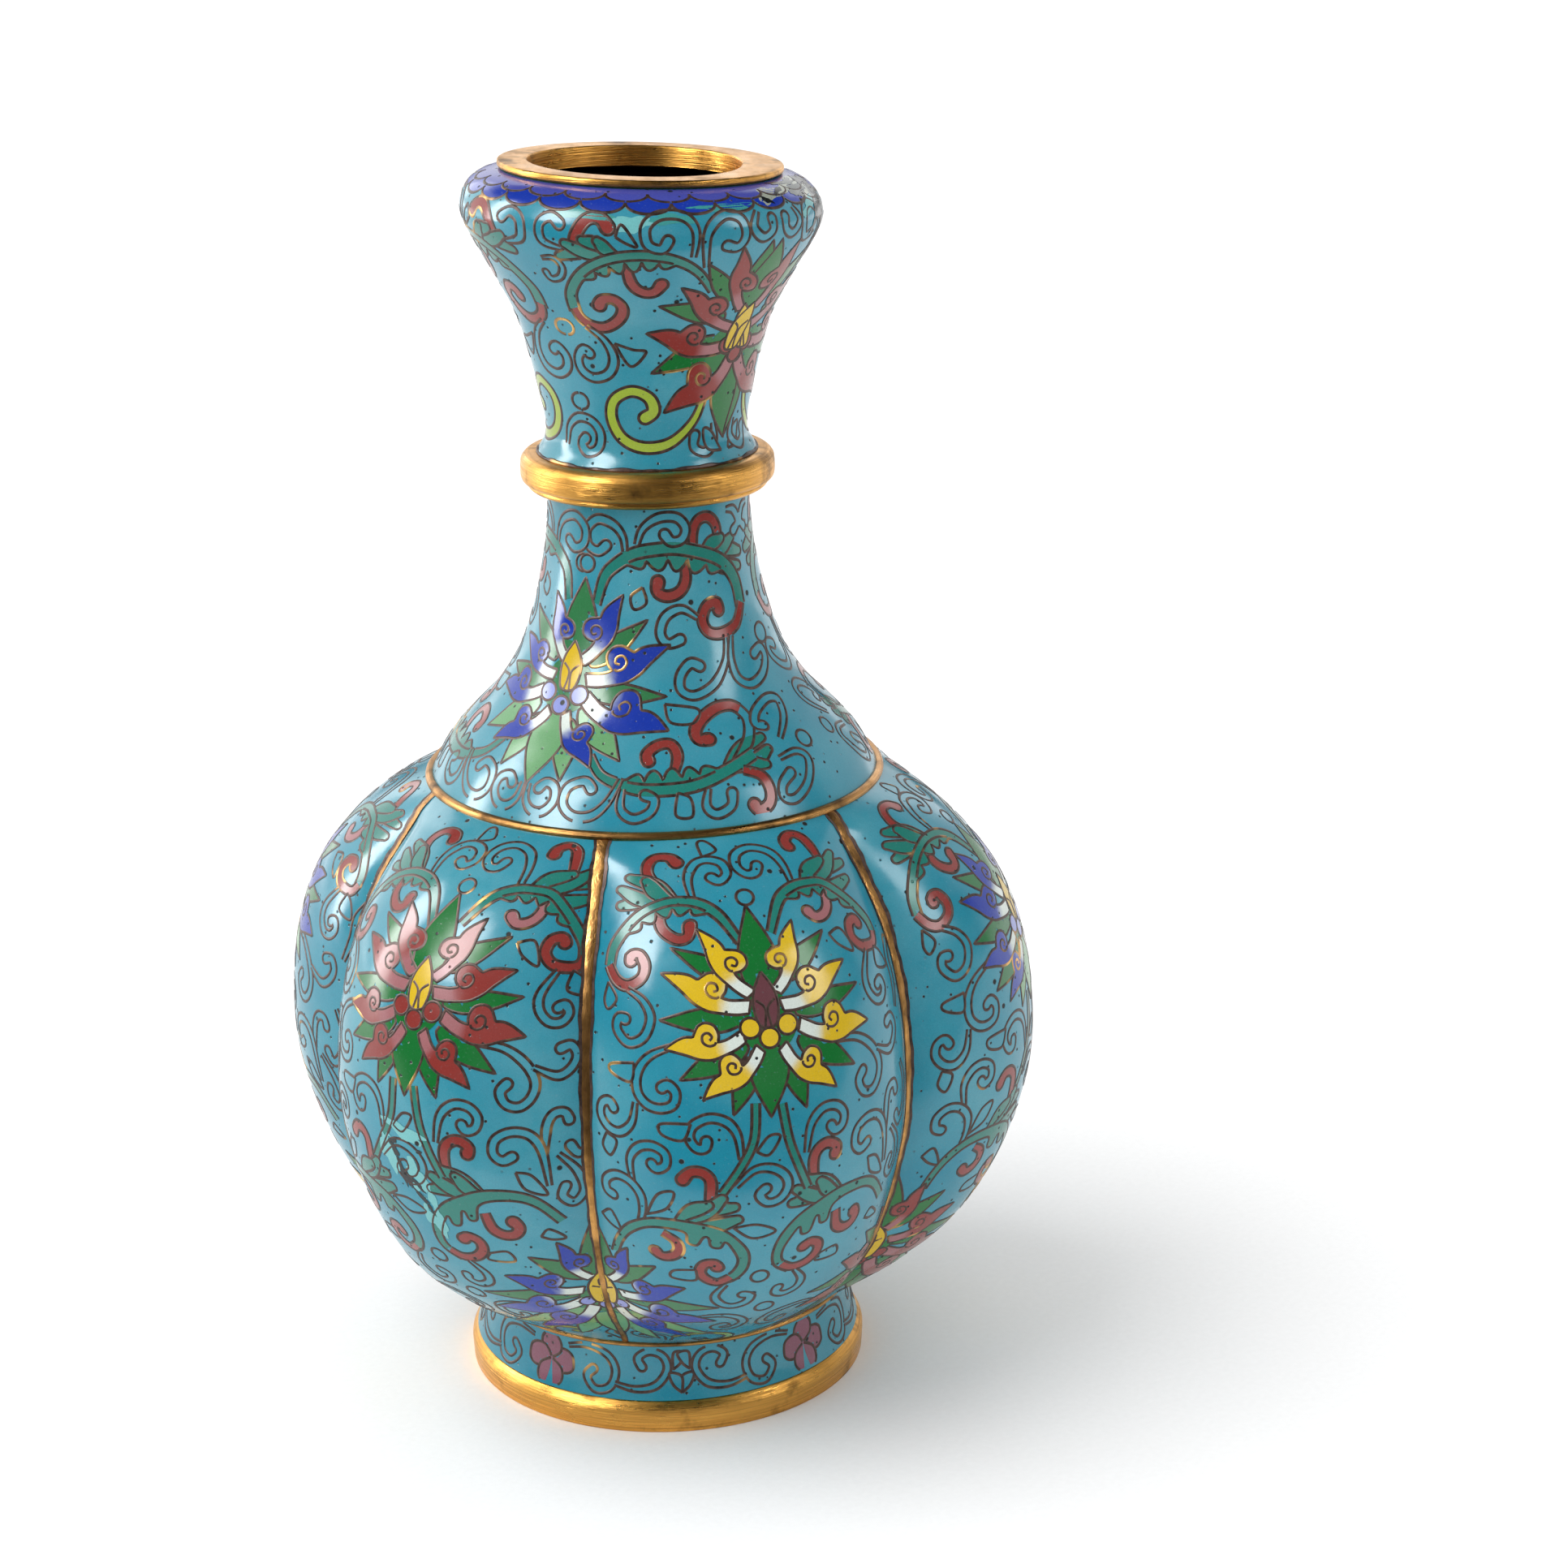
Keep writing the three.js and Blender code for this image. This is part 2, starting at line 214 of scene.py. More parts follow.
@dataclass
class LobedWall:
    """Shape of the lobed body: radius over a lobe's middle, and how deep the grooves are."""

    crest: tuple[Point, ...] = (
        (31.0, 15.0), (36.6, 18.2), (43.6, 23.0), (51.2, 30.5), (57.2, 41.0), (60.9, 53.0),
        (61.6, 63.0), (60.2, 75.0), (56.2, 86.0), (50.0, 94.0), (43.2, 99.5), (36.3, 102.9))
    groove: tuple[Point, ...] = (
        (0.0, 15.0), (0.075, 17.5), (0.125, 24.0), (0.155, 38.0), (0.157, 60.0), (0.157, 80.0),
        (0.15, 92.0), (0.11, 98.5), (0.0, 102.9))

    def __post_init__(self) -> None:
        """Measures the way up the wall."""
        self.bottom = self.crest[0][1]
        self.top = self.crest[-1][1]
        self._z = np.linspace(self.bottom, self.top, 900)
        r = hermite(self.crest, self._z)
        self._m = np.concatenate([[0], np.cumsum(np.hypot(np.diff(r), np.diff(self._z)))])
        self.rise = float(self._m[-1])

    def height(self, m: Array) -> Array:
        """Height at a distance up the wall."""
        return np.interp(m, self._m, self._z)

    def way_up(self, z: Array) -> Array:
        """Distance up the wall at a height."""
        return np.interp(z, self._z, self._m)

    def section(self, z: Array) -> tuple[Array, Array, Array]:
        """Each lobe's arc at a height: its centre's distance out, its radius, the groove's radius."""
        crest = hermite(self.crest, z)
        groove = crest * (1 - np.maximum(hermite(self.groove, z), 1e-4))
        out = (crest ** 2 - groove ** 2) / (2 * (crest - groove * math.cos(LOBE_ANGLE / 2)))
        return out, crest - out, groove

    def half_width(self, m: Array) -> Array:
        """Half of a lobe's width, along its arc, from its middle to the groove."""
        _, arc, groove = self.section(self.height(m))
        return arc * np.arcsin(np.clip(groove * math.sin(LOBE_ANGLE / 2) / arc, -1, 1))


WALL = LobedWall()


@dataclass
class LobeChart(Chart):
    """One lobe, with x measured from its middle."""

    facing: float

    def point(self, x: Array, m: Array) -> Array:
        """Places on the lobe."""
        z = WALL.height(m)
        out, arc, _ = WALL.section(z)
        forward = out + arc * np.cos(x / arc)
        side = arc * np.sin(x / arc)
        s, c = math.sin(self.facing), math.cos(self.facing)
        return np.stack([forward * s + side * c, -forward * c + side * s, z], -1)

    def plumb(self, x: float | Array, m: float | Array, at: Array) -> Array:
        """The line leans with the crest, the more the further it is from the lobe's middle."""
        _, arc, _ = WALL.section(WALL.height(m))
        crest = hermite(WALL.crest, WALL.height(np.atleast_1d(at)))
        return x + x / arc * (crest - hermite(WALL.crest, np.atleast_1d(WALL.height(m))))


@dataclass
class TurnedChart(Chart):
    """A turned wall, with x measured round it from a facing direction."""

    outline: tuple[Point, ...]
    datum: float
    facing: float = 0.0
    knocked: bool = False

    def __post_init__(self) -> None:
        """Measures the way up the wall, from the datum's height."""
        rising = self.outline if self.outline[0][1] < self.outline[-1][1] else self.outline[::-1]
        curve = catmull(rising, per_span=30)
        self._r, self._z = curve.T
        along = np.concatenate([[0], np.cumsum(np.hypot(np.diff(self._r), np.diff(self._z)))])
        self._m = along - float(np.interp(self.datum, self._z, along))

    @property
    def rise_from_datum(self) -> float:
        """Distance along the wall at its upper edge."""
        return float(self._m[-1])

    def way_up(self, height: float) -> float:
        """Distance along the wall at a height."""
        return float(np.interp(height, self._z, self._m))

    def turned_to(self, facing: float) -> "TurnedChart":
        """The same wall, with its drawing centred on another direction."""
        return TurnedChart(self.outline, self.datum, facing, self.knocked)

    def radius(self, m: Array) -> Array:
        """Radius at a distance up the wall."""
        return np.interp(m, self._m, self._r)

    def point(self, x: Array, m: Array) -> Array:
        """Places on the wall."""
        r = self.radius(m)
        angle = self.facing + x / r
        z = np.interp(m, self._m, self._z)
        points = np.stack([r * np.sin(angle), -r * np.cos(angle), z], -1)
        return KNOCK.apply(points) if self.knocked else points

    def plumb(self, x: float | Array, m: float | Array, at: Array) -> Array:
        """The line keeps its direction round the wall."""
        return x * self.radius(at) / self.radius(m)


# ---------- finishes
class Glaze(Enum):
    """Enamel colours, as linear red, green, blue."""

    TURQUOISE = (0.016, 0.25, 0.335)
    RED = (0.24, 0.034, 0.028)
    ROSE = (0.33, 0.13, 0.14)
    YELLOW = (0.64, 0.43, 0.012)
    WHITE = (0.62, 0.69, 0.64)
    GREEN = (0.007, 0.15, 0.028)
    PALE_GREEN = (0.13, 0.33, 0.14)
    LEAF = (0.03, 0.17, 0.06)
    TEAL = (0.014, 0.185, 0.15)
    COBALT = (0.008, 0.034, 0.33)
    LAVENDER = (0.24, 0.28, 0.62)
    PLUM = (0.13, 0.045, 0.055)
    LIME = (0.31, 0.42, 0.045)
    PINK = (0.23, 0.08, 0.12)
    PALE_TURQUOISE = (0.15, 0.45, 0.46)
    VIOLET = (0.055, 0.066, 0.34)
    SOOT = (0.01, 0.012, 0.012)
    ASH = (0.055, 0.07, 0.065)
    CREAM = (0.3, 0.33, 0.27)
    SEA_GREEN = (0.04, 0.27, 0.26)


class Shader:
    """A node material under construction, with short helpers for its nodes."""

    def __init__(self, name: str) -> None:
        """Starts a material with an empty tree, a surface shader and an output."""
        self.material = bpy.data.materials.new(name)
        self.material.use_nodes = True
        self.tree = self.material.node_tree
        self.tree.nodes.clear()
        self.surface = self.node("ShaderNodeBsdfPrincipled")
        self.node("ShaderNodeOutputMaterial", {"Surface": self.surface.outputs[0]})
        self.coordinates = self.node("ShaderNodeTexCoord").outputs["Object"]

    def node(self, kind: str, inputs: dict | None = None, **settings: object) -> bpy.types.Node:
        """A new node, with its settings made and its inputs fed."""
        node = self.tree.nodes.new(kind)
        for name, setting in settings.items():
            setattr(node, name, setting)
        self.feed(node, inputs or {})
        return node

    def feed(self, node: bpy.types.Node, inputs: dict) -> None:
        """Gives a node's inputs their constants, or joins them to other nodes' outputs."""
        for socket, source in inputs.items():
            if isinstance(source, bpy.types.NodeSocket):
                self.tree.links.new(source, node.inputs[socket])
            else:
                node.inputs[socket].default_value = source

    def dress(self, colour: object, rough: object, metal: object = 0.0) -> None:
        """Gives the surface its colour, roughness and metal."""
        self.feed(self.surface, {"Base Color": colour, "Roughness": rough, "Metallic": metal})

    def noise(self, scale: float, detail: float = 2.0, rough: float = 0.5,
              stretch: Colour | None = None) -> object:
        """Value of a noise pattern in the object's own space, stretched when asked."""
        place = self.coordinates
        if stretch is not None:
            place = self.node("ShaderNodeMapping", {"Scale": stretch, "Vector": place}).outputs[0]
        return self.node("ShaderNodeTexNoise", {"Scale": scale, "Detail": detail,
                                                "Roughness": rough, "Vector": place}).outputs["Fac"]

    def spots(self, scale: float) -> tuple[object, object]:
        """Distance to the nearest spot's middle, and each spot's own random colour."""
        node = self.node("ShaderNodeTexVoronoi", {"Scale": scale, "Vector": self.coordinates})
        return node.outputs["Distance"], node.outputs["Color"]

    def ramp(self, factor: object, low: float, high: float, start: float = 0.0,
             end: float = 1.0) -> object:
        """A factor remapped from one range to another and clamped."""
        return self.node("ShaderNodeMapRange", {"Value": factor, "From Min": low, "From Max": high,
                                                "To Min": start, "To Max": end}).outputs[0]

    def math(self, kind: str, a: object, b: object | float) -> object:
        """Result of a math operation."""
        return self.node("ShaderNodeMath", {0: a, 1: b}, operation=kind).outputs[0]

    def mix(self, factor: object, a: object, b: object, blend: str = "MIX") -> object:
        """Mix of two colours, each a socket or linear red, green, blue."""
        a, b = ((*colour, 1.0) if isinstance(colour, tuple) else colour for colour in (a, b))
        return self.node("ShaderNodeMix", {0: factor, 6: a, 7: b}, data_type="RGBA",
                         blend_type=blend).outputs[2]

    def bump(self, height: object, distance: float, strength: float) -> None:
        """Small relief on the surface."""
        relief = self.node("ShaderNodeBump", {"Strength": strength, "Distance": distance,
                                              "Height": height})
        self.feed(self.surface, {"Normal": relief.outputs[0]})


GLAZE_LAYER = "glaze"


@dataclass(frozen=True)
class EnamelFinish:
    """Ground and polished enamel: fine grain, cloudy colour, open pits, and a soft gloss."""

    name: str
    colour: Glaze | None = None
    cloud: float = 0.35
    roughness: float = 0.13

    def build(self) -> Material:
        """The enamel's material. Without a colour of its own it reads the piece's glaze layer."""
        s = Shader(self.name)
        if self.colour is None:
            ground = s.node("ShaderNodeAttribute", attribute_name=GLAZE_LAYER).outputs["Color"]
        else:
            ground = self._cloudy(s, self.colour.value)
        grain = s.ramp(s.noise(5200.0, 2.0, 0.7), 0.3, 0.75, 0.0, 0.5)
        grained = s.mix(grain, ground, s.mix(1.0, ground, (0.62, 0.62, 0.62), "MULTIPLY"))
        speck = s.ramp(s.noise(2600.0, 1.0, 0.5), 0.64, 0.8, 0.0, 0.10)
        lightened = s.mix(speck, grained, (0.30, 0.45, 0.46))
        pitted, hollow = self._pits(s, lightened)
        haze = s.ramp(s.noise(140.0, 3.0, 0.6), 0.3, 0.75, self.roughness, self.roughness + 0.15)
        s.dress(pitted, s.math("ADD", haze, s.math("MULTIPLY", hollow, 0.4)))
        s.feed(s.surface, {"IOR": 1.52})
        ripple = s.math("MULTIPLY", s.noise(210.0, 2.0, 0.5), 0.35)
        s.bump(s.math("SUBTRACT", ripple, hollow), 0.00018, 0.5)
        return s.material

    def _cloudy(self, s: Shader, colour: Colour) -> object:
        """The ground colour with its broad light and dark clouds."""
        deep = tuple(c * k for c, k in zip(colour, (0.55, 0.86, 0.93)))
        pale = (colour[0] + 0.05 * self.cloud * 3, colour[1] * 1.22, colour[2] * 1.15)
        broad = s.noise(38.0, 3.0, 0.55)
        fine = s.noise(330.0, 2.0, 0.6)
        first = s.mix(s.ramp(broad, 0.35, 0.68), deep, pale)
        return s.mix(s.ramp(fine, 0.45, 0.7, 0.0, self.cloud), first, colour)

    def _pits(self, s: Shader, ground: object) -> tuple[object, object]:
        """Dark open pits, in two sizes. Returns the colour and how hollow each place is."""
        sizes = []
        for scale, wide, chance in ((620.0, (0.19, 0.12), 0.56), (230.0, (0.12, 0.08), 0.66)):
            near, own = s.spots(scale)
            sizes.append(s.math("MULTIPLY", s.ramp(near, *wide), s.ramp(own, chance, chance + 0.02)))
        hollow = s.math("MAXIMUM", *sizes)
        return s.mix(hollow, ground, (0.006, 0.010, 0.010)), hollow


@dataclass(frozen=True)
class GiltFinish:
    """Fire gilding on brass: brushed round the vase, worn to brown metal and dull in creases."""

    name: str
    wear: float = 0.35
    brushing: float = 1.0
    gold: Colour = (0.80, 0.415, 0.090)
    worn: Colour = (0.30, 0.135, 0.030)
    grime: Colour = (0.035, 0.020, 0.011)
    upright: bool = False

    def build(self) -> Material:
        """The gilding's material."""
        s = Shader(self.name)
        broad, close = (6.0, 0.4) if self.upright else (0.35, 26.0)
        streaks = s.noise(110.0, 4.0, 0.7, (broad, broad, close))
        patches = s.noise(160.0, 4.0, 0.62)
        worn = s.mix(s.ramp(streaks, 0.42, 0.72, 0.0, 0.75), self.gold, self.worn)
        stained = s.mix(s.ramp(patches, 0.66 - 0.35 * self.wear, 0.86 - 0.2 * self.wear), worn,
                        self.grime)
        s.dress(stained, s.ramp(s.math("ADD", streaks, patches), 0.7, 1.35, 0.20, 0.52), 1.0)
        fine = s.noise(240.0, 3.0, 0.7, (0.85 * broad, 0.85 * broad, 0.85 * close))
        s.bump(s.math("ADD", fine, s.math("MULTIPLY", patches, 0.4)), 0.00012 * self.brushing, 0.8)
        return s.material


@dataclass(frozen=True)
class WireFinish:
    """Cloison wire: gilding gone to a dark brown skin, with bright gold stretches that are partly rubbed
    gilding and partly painted glints.
    """

    name: str
    bright: float = 0.66

    def build(self) -> Material:
        """The wire's material."""
        s = Shader(self.name)
        # Where this noise is high the wire turns gold: partly rubbed gilding, partly painted glints of
        # light.
        rubbed = s.noise(75.0, 3.0, 0.65)
        tarnish = s.noise(900.0, 2.0, 0.6)
        dark = s.mix(s.ramp(tarnish, 0.3, 0.7), (0.034, 0.020, 0.017), (0.100, 0.056, 0.043))
        share = s.ramp(rubbed, self.bright - 0.04, self.bright + 0.05)
        s.dress(s.mix(share, dark, (0.78, 0.47, 0.17)), s.ramp(tarnish, 0.3, 0.7, 0.30, 0.5),
                s.ramp(share, 0.0, 1.0, 0.35, 1.0))
        return s.material


@dataclass(frozen=True)
class CopperFinish:
    """Beaten copper, dark brown to nearly black: partly its own dull oxide, partly painted shade for the
    inside of the vessel.
    """

    name: str

    def build(self) -> Material:
        """The copper's material."""
        s = Shader(self.name)
        blotch = s.noise(90.0, 4.0, 0.6)
        # These near-black browns are partly the copper's oxide and partly painted shade for the vessel's
        # dark inside.
        s.dress(s.mix(s.ramp(blotch, 0.35, 0.7), (0.020, 0.011, 0.008), (0.060, 0.030, 0.016)),
                s.ramp(blotch, 0.3, 0.7, 0.45, 0.7), 0.8)
        dents, _ = s.spots(160.0)
        s.bump(dents, 0.0003, 0.5)
        return s.material


@dataclass(frozen=True)
class PaperFinish:
    """The plain pale sheet that the vase stands on."""

    name: str

    def build(self) -> Material:
        """The sheet's material."""
        s = Shader(self.name)
        fibre = s.noise(900.0, 3.0, 0.6)
        s.dress(s.mix(s.ramp(fibre, 0.3, 0.7), (0.90, 0.90, 0.90), (0.93, 0.93, 0.93)), 0.9)
        s.bump(fibre, 0.0002, 0.15)
        return s.material


# ---------- meshes
def placed(name: str, data: bpy.types.ID) -> bpy.types.Object:
    """A new object in the scene."""
    thing = bpy.data.objects.new(name, data)
    bpy.context.scene.collection.objects.link(thing)
    return thing


def make_piece(name: str, points: Array, faces: Iterable[Sequence[int]],
               material: Material, slot: str, replaces: Sequence[str] = (),
               sharp: float = 40.0, glaze: Array | None = None) -> bpy.types.Object:
    """A finished mesh object that rides on the vase.

    Args:
        name: The piece's name.
        points: Its vertices, in millimetres.
        faces: Its faces, as vertex numbers.
        material: Its finish.
        slot: The name of the material slot it stands for; not used.
        replaces: The CAD nodes it stands for.
        sharp: Angle in degrees past which an edge is crisp.
        glaze: A colour for each vertex, where the finish reads one.

    Returns:
        The object.
    """
    mesh = bpy.data.meshes.new(name)
    mesh.from_pydata((points * MM).tolist(), [], [list(map(int, f)) for f in faces])
    mesh.materials.append(material)
    mesh.shade_smooth()
    mesh.set_sharp_from_angle(angle=math.radians(sharp))
    if glaze is not None:
        layer = mesh.color_attributes.new(GLAZE_LAYER, "FLOAT_COLOR", "POINT")
        colours = np.concatenate([glaze, np.ones((len(glaze), 1))], 1)
        layer.data.foreach_set("color", colours.astype(np.float32).ravel())
    mesh.validate()
    piece = placed(name, mesh)
    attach(piece, "root")
    if replaces:
        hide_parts(*replaces)
    LOG.info("%s: %d faces", name, len(mesh.polygons))
    return piece


def grid_faces(rows: int, columns: int, start: int = 0, wraps: bool = False,
               flip: bool = False) -> list[tuple[int, int, int, int]]:
    """Quads of a grid whose rows run up and whose columns run to the right."""
    faces = []
    for i in range(rows - 1):
        for j in range(columns if wraps else columns - 1):
            k = (j + 1) % columns
            quad = (start + i * columns + j, start + i * columns + k,
                    start + (i + 1) * columns + k, start + (i + 1) * columns + j)
            faces.append(quad[::-1] if flip else quad)
    return faces


def enamel_slab(chart: Chart, x: Array, m: Array, wraps: bool = False) -> tuple[Array, list]:
    """A closed slab of enamel on a chart, from grids of x and m shaped (rows, columns)."""
    rows, columns = x.shape
    outer = chart.place(x.ravel(), m.ravel(), 0.0)
    inner = chart.place(x.ravel(), m.ravel(), -ENAMEL_THICKNESS)
    half = rows * columns
    faces = grid_faces(rows, columns, 0, wraps) + grid_faces(rows, columns, half, wraps, True)
    low, high = list(range(columns)), list(range(half - columns, half))
    left, right = list(range(0, half, columns)), list(range(columns - 1, half, columns))
    rims = [low, high[::-1]] if wraps else [low + right[1:] + high[-2::-1] + left[-2:0:-1]]
    for rim in rims:
        faces += [(b, a, a + half, b + half) for a, b in zip(rim, rim[1:] + rim[:1])]
    return np.vstack([outer, inner]), faces


def turned_solid(section: Array, steps: int = 160,
                 shape: Callable[[Array], Array] | None = None) -> tuple[Array, list]:
    """A turned solid from a closed section given anticlockwise as radius and height."""
    angles = np.arange(steps) * TURN / steps
    r, z = section.T
    ring = np.stack([np.outer(r, np.sin(angles)), np.outer(r, -np.cos(angles)),
                     np.repeat(z[:, None], steps, 1)], -1)
    points = ring.reshape(-1, 3)
    if shape is not None:
        points = shape(points)
    count = len(section)
    faces = grid_faces(count, steps, wraps=True)
    last = (count - 1) * steps
    for j in range(steps):
        k = (j + 1) % steps
        faces.append((last + j, last + k, k, j))
    return points, faces


def rounded(corners: Sequence[tuple[float, float, float]], steps: int = 5) -> Array:
    """A section from each corner's radius, height and rounding, anticlockwise."""
    rows = []
    count = len(corners)
    for i, (r, z, rounding) in enumerate(corners):
        here = np.array((r, z))
        if rounding <= 0:
            rows.append(here[None])
            continue
        before = np.array(corners[i - 1][:2]) - here
        after = np.array(corners[(i + 1) % count][:2]) - here
        start = here + before / np.linalg.norm(before) * rounding
        end = here + after / np.linalg.norm(after) * rounding
        t = np.linspace(0, 1, steps)[:, None]
        rows.append((1 - t) ** 2 * start + 2 * t * (1 - t) * here + t ** 2 * end)
    return np.vstack(rows)


# ---------- camera, light and floor
@dataclass(frozen=True)
class Panel:
    """A soft light panel: its place round the vase in degrees and millimetres, and its glow."""

    name: str
    azimuth: float
    distance: float
    height: float
    width: float
    tall: float
    glow: float


@dataclass
class Studio:
    """A plain white sheet under soft light, seen from a little above."""

    azimuth: float = FRONT
    distance: float = 538.95
    height: float = 273.32
    pitch: float = 0.31227
    yaw: float = 0.03873
    roll: float = -0.01184
    focal: float = 80.124
    film: float = 36.0
    apron: float = 120.0
    room: float = 0.86
    overhead: float = 1.9
    panels: tuple[Panel, ...] = (
        Panel("window_left", -58.0, 900.0, 760.0, 420.0, 620.0, 15.0),
        Panel("strip_left", -104.0, 900.0, 420.0, 200.0, 800.0, 13.0),
        Panel("window_right", 66.0, 900.0, 560.0, 260.0, 520.0, 6.0),
        Panel("room_front", 8.0, 1500.0, 150.0, 2200.0, 700.0, 0.22),
        Panel("side_left", -132.0, 1300.0, 420.0, 1300.0, 1000.0, 1.5),
        Panel("side_right", 128.0, 1300.0, 420.0, 1300.0, 1000.0, 0.8),
        Panel("back_wall", 180.0, 1300.0, 620.0, 1800.0, 760.0, 1.3))

    def build(self) -> None:
        """Makes the camera, the sheet and the lights."""
        self._camera()
        self._sheet()
        self._lights()

    def around(self, azimuth: float, distance: float, height: float) -> Vector:
        """A place round the vase, in metres, at an azimuth from the camera's side."""
        angle = self.azimuth + azimuth
        return Vector((distance * math.sin(angle), -distance * math.cos(angle), height)) * MM

    def _camera(self) -> None:
        """The camera that frames the vase left of the picture's middle."""
        data = bpy.data.cameras.new("camera")
        data.lens = self.focal
        data.sensor_width = self.film
        data.clip_start = 0.01
        camera = placed("camera", data)
        heading = -self.azimuth + self.yaw
        forward = Vector((math.sin(heading) * math.cos(self.pitch),
                          math.cos(heading) * math.cos(self.pitch), -math.sin(self.pitch)))
        right = Vector((math.cos(heading), -math.sin(heading), 0.0))
        up = right.cross(forward)
        tipped_right = math.cos(self.roll) * right + math.sin(self.roll) * up
        tipped_up = -math.sin(self.roll) * right + math.cos(self.roll) * up
        turn = Matrix((tipped_right, tipped_up, -forward)).transposed().to_4x4()
        camera.matrix_world = Matrix.Translation(self.around(0.0, self.distance, self.height)) @ turn
        bpy.context.scene.camera = camera

    def _sheet(self) -> None:
        """The white sheet under the vase. Its part in front of the vase stays out of the gloss."""
        paper = PaperFinish("white_sheet").build()
        far = 12000.0
        for name, front, back in (("sheet", -self.apron, far), ("apron", -far, -self.apron)):
            mesh = bpy.data.meshes.new(name)
            corners = [self.around(math.pi, ahead, 0.0) + self.around(math.pi / 2, aside, 0.0)
                       for ahead, aside in ((front, far), (front, -far), (back, -far), (back, far))]
            mesh.from_pydata(corners, [], [(0, 1, 2, 3)])
            if mesh.polygons[0].normal.z < 0:
                mesh.flip_normals()
            mesh.materials.append(paper)
            sheet = placed(name, mesh)
            sheet.visible_glossy = name == "sheet"

    def _lights(self) -> None:
        """Soft light from the upper left over a pale room, and panels that show in the gloss."""
        bpy.context.scene.view_settings.view_transform = "Standard"
        world = bpy.data.worlds.new("room")
        bpy.context.scene.world = world
        world.use_nodes = True
        background = world.node_tree.nodes["Background"].inputs
        background["Color"].default_value = (1.0, 1.0, 1.0, 1.0)
        background["Strength"].default_value = self.room
        world.cycles_visibility.glossy = False
        sun = bpy.data.lights.new("overhead", "SUN")
        sun.energy = self.overhead
        sun.angle = math.radians(56)
        lamp = placed("overhead", sun)
        lamp.matrix_world = (self.around(math.radians(-72), 600.0, 690.0)
                             .to_track_quat("Z", "Y").to_matrix().to_4x4())
        lamp.visible_glossy = False
        for panel in self.panels:
            self._panel(panel)

    def _panel(self, panel: Panel) -> None:
        """A soft panel that faces the vase and shows only in reflections."""
        data = bpy.data.lights.new(panel.name, "AREA")
        data.shape = "RECTANGLE"
        data.size = panel.width * MM
        data.size_y = panel.tall * MM
        data.energy = panel.glow * math.pi * data.size * data.size_y
        lamp = placed(panel.name, data)
        place = self.around(math.radians(panel.azimuth), panel.distance, panel.height)
        aim = Vector((0, 0, 90.0)) * MM
        lamp.matrix_world = (Matrix.Translation(place)
                             @ (aim - place).to_track_quat("-Z", "Y").to_matrix().to_4x4())
        lamp.visible_diffuse = False


# ---------- the vase's walls
ENAMEL_THICKNESS = 0.8
GROOVE_MARGIN = 0.45


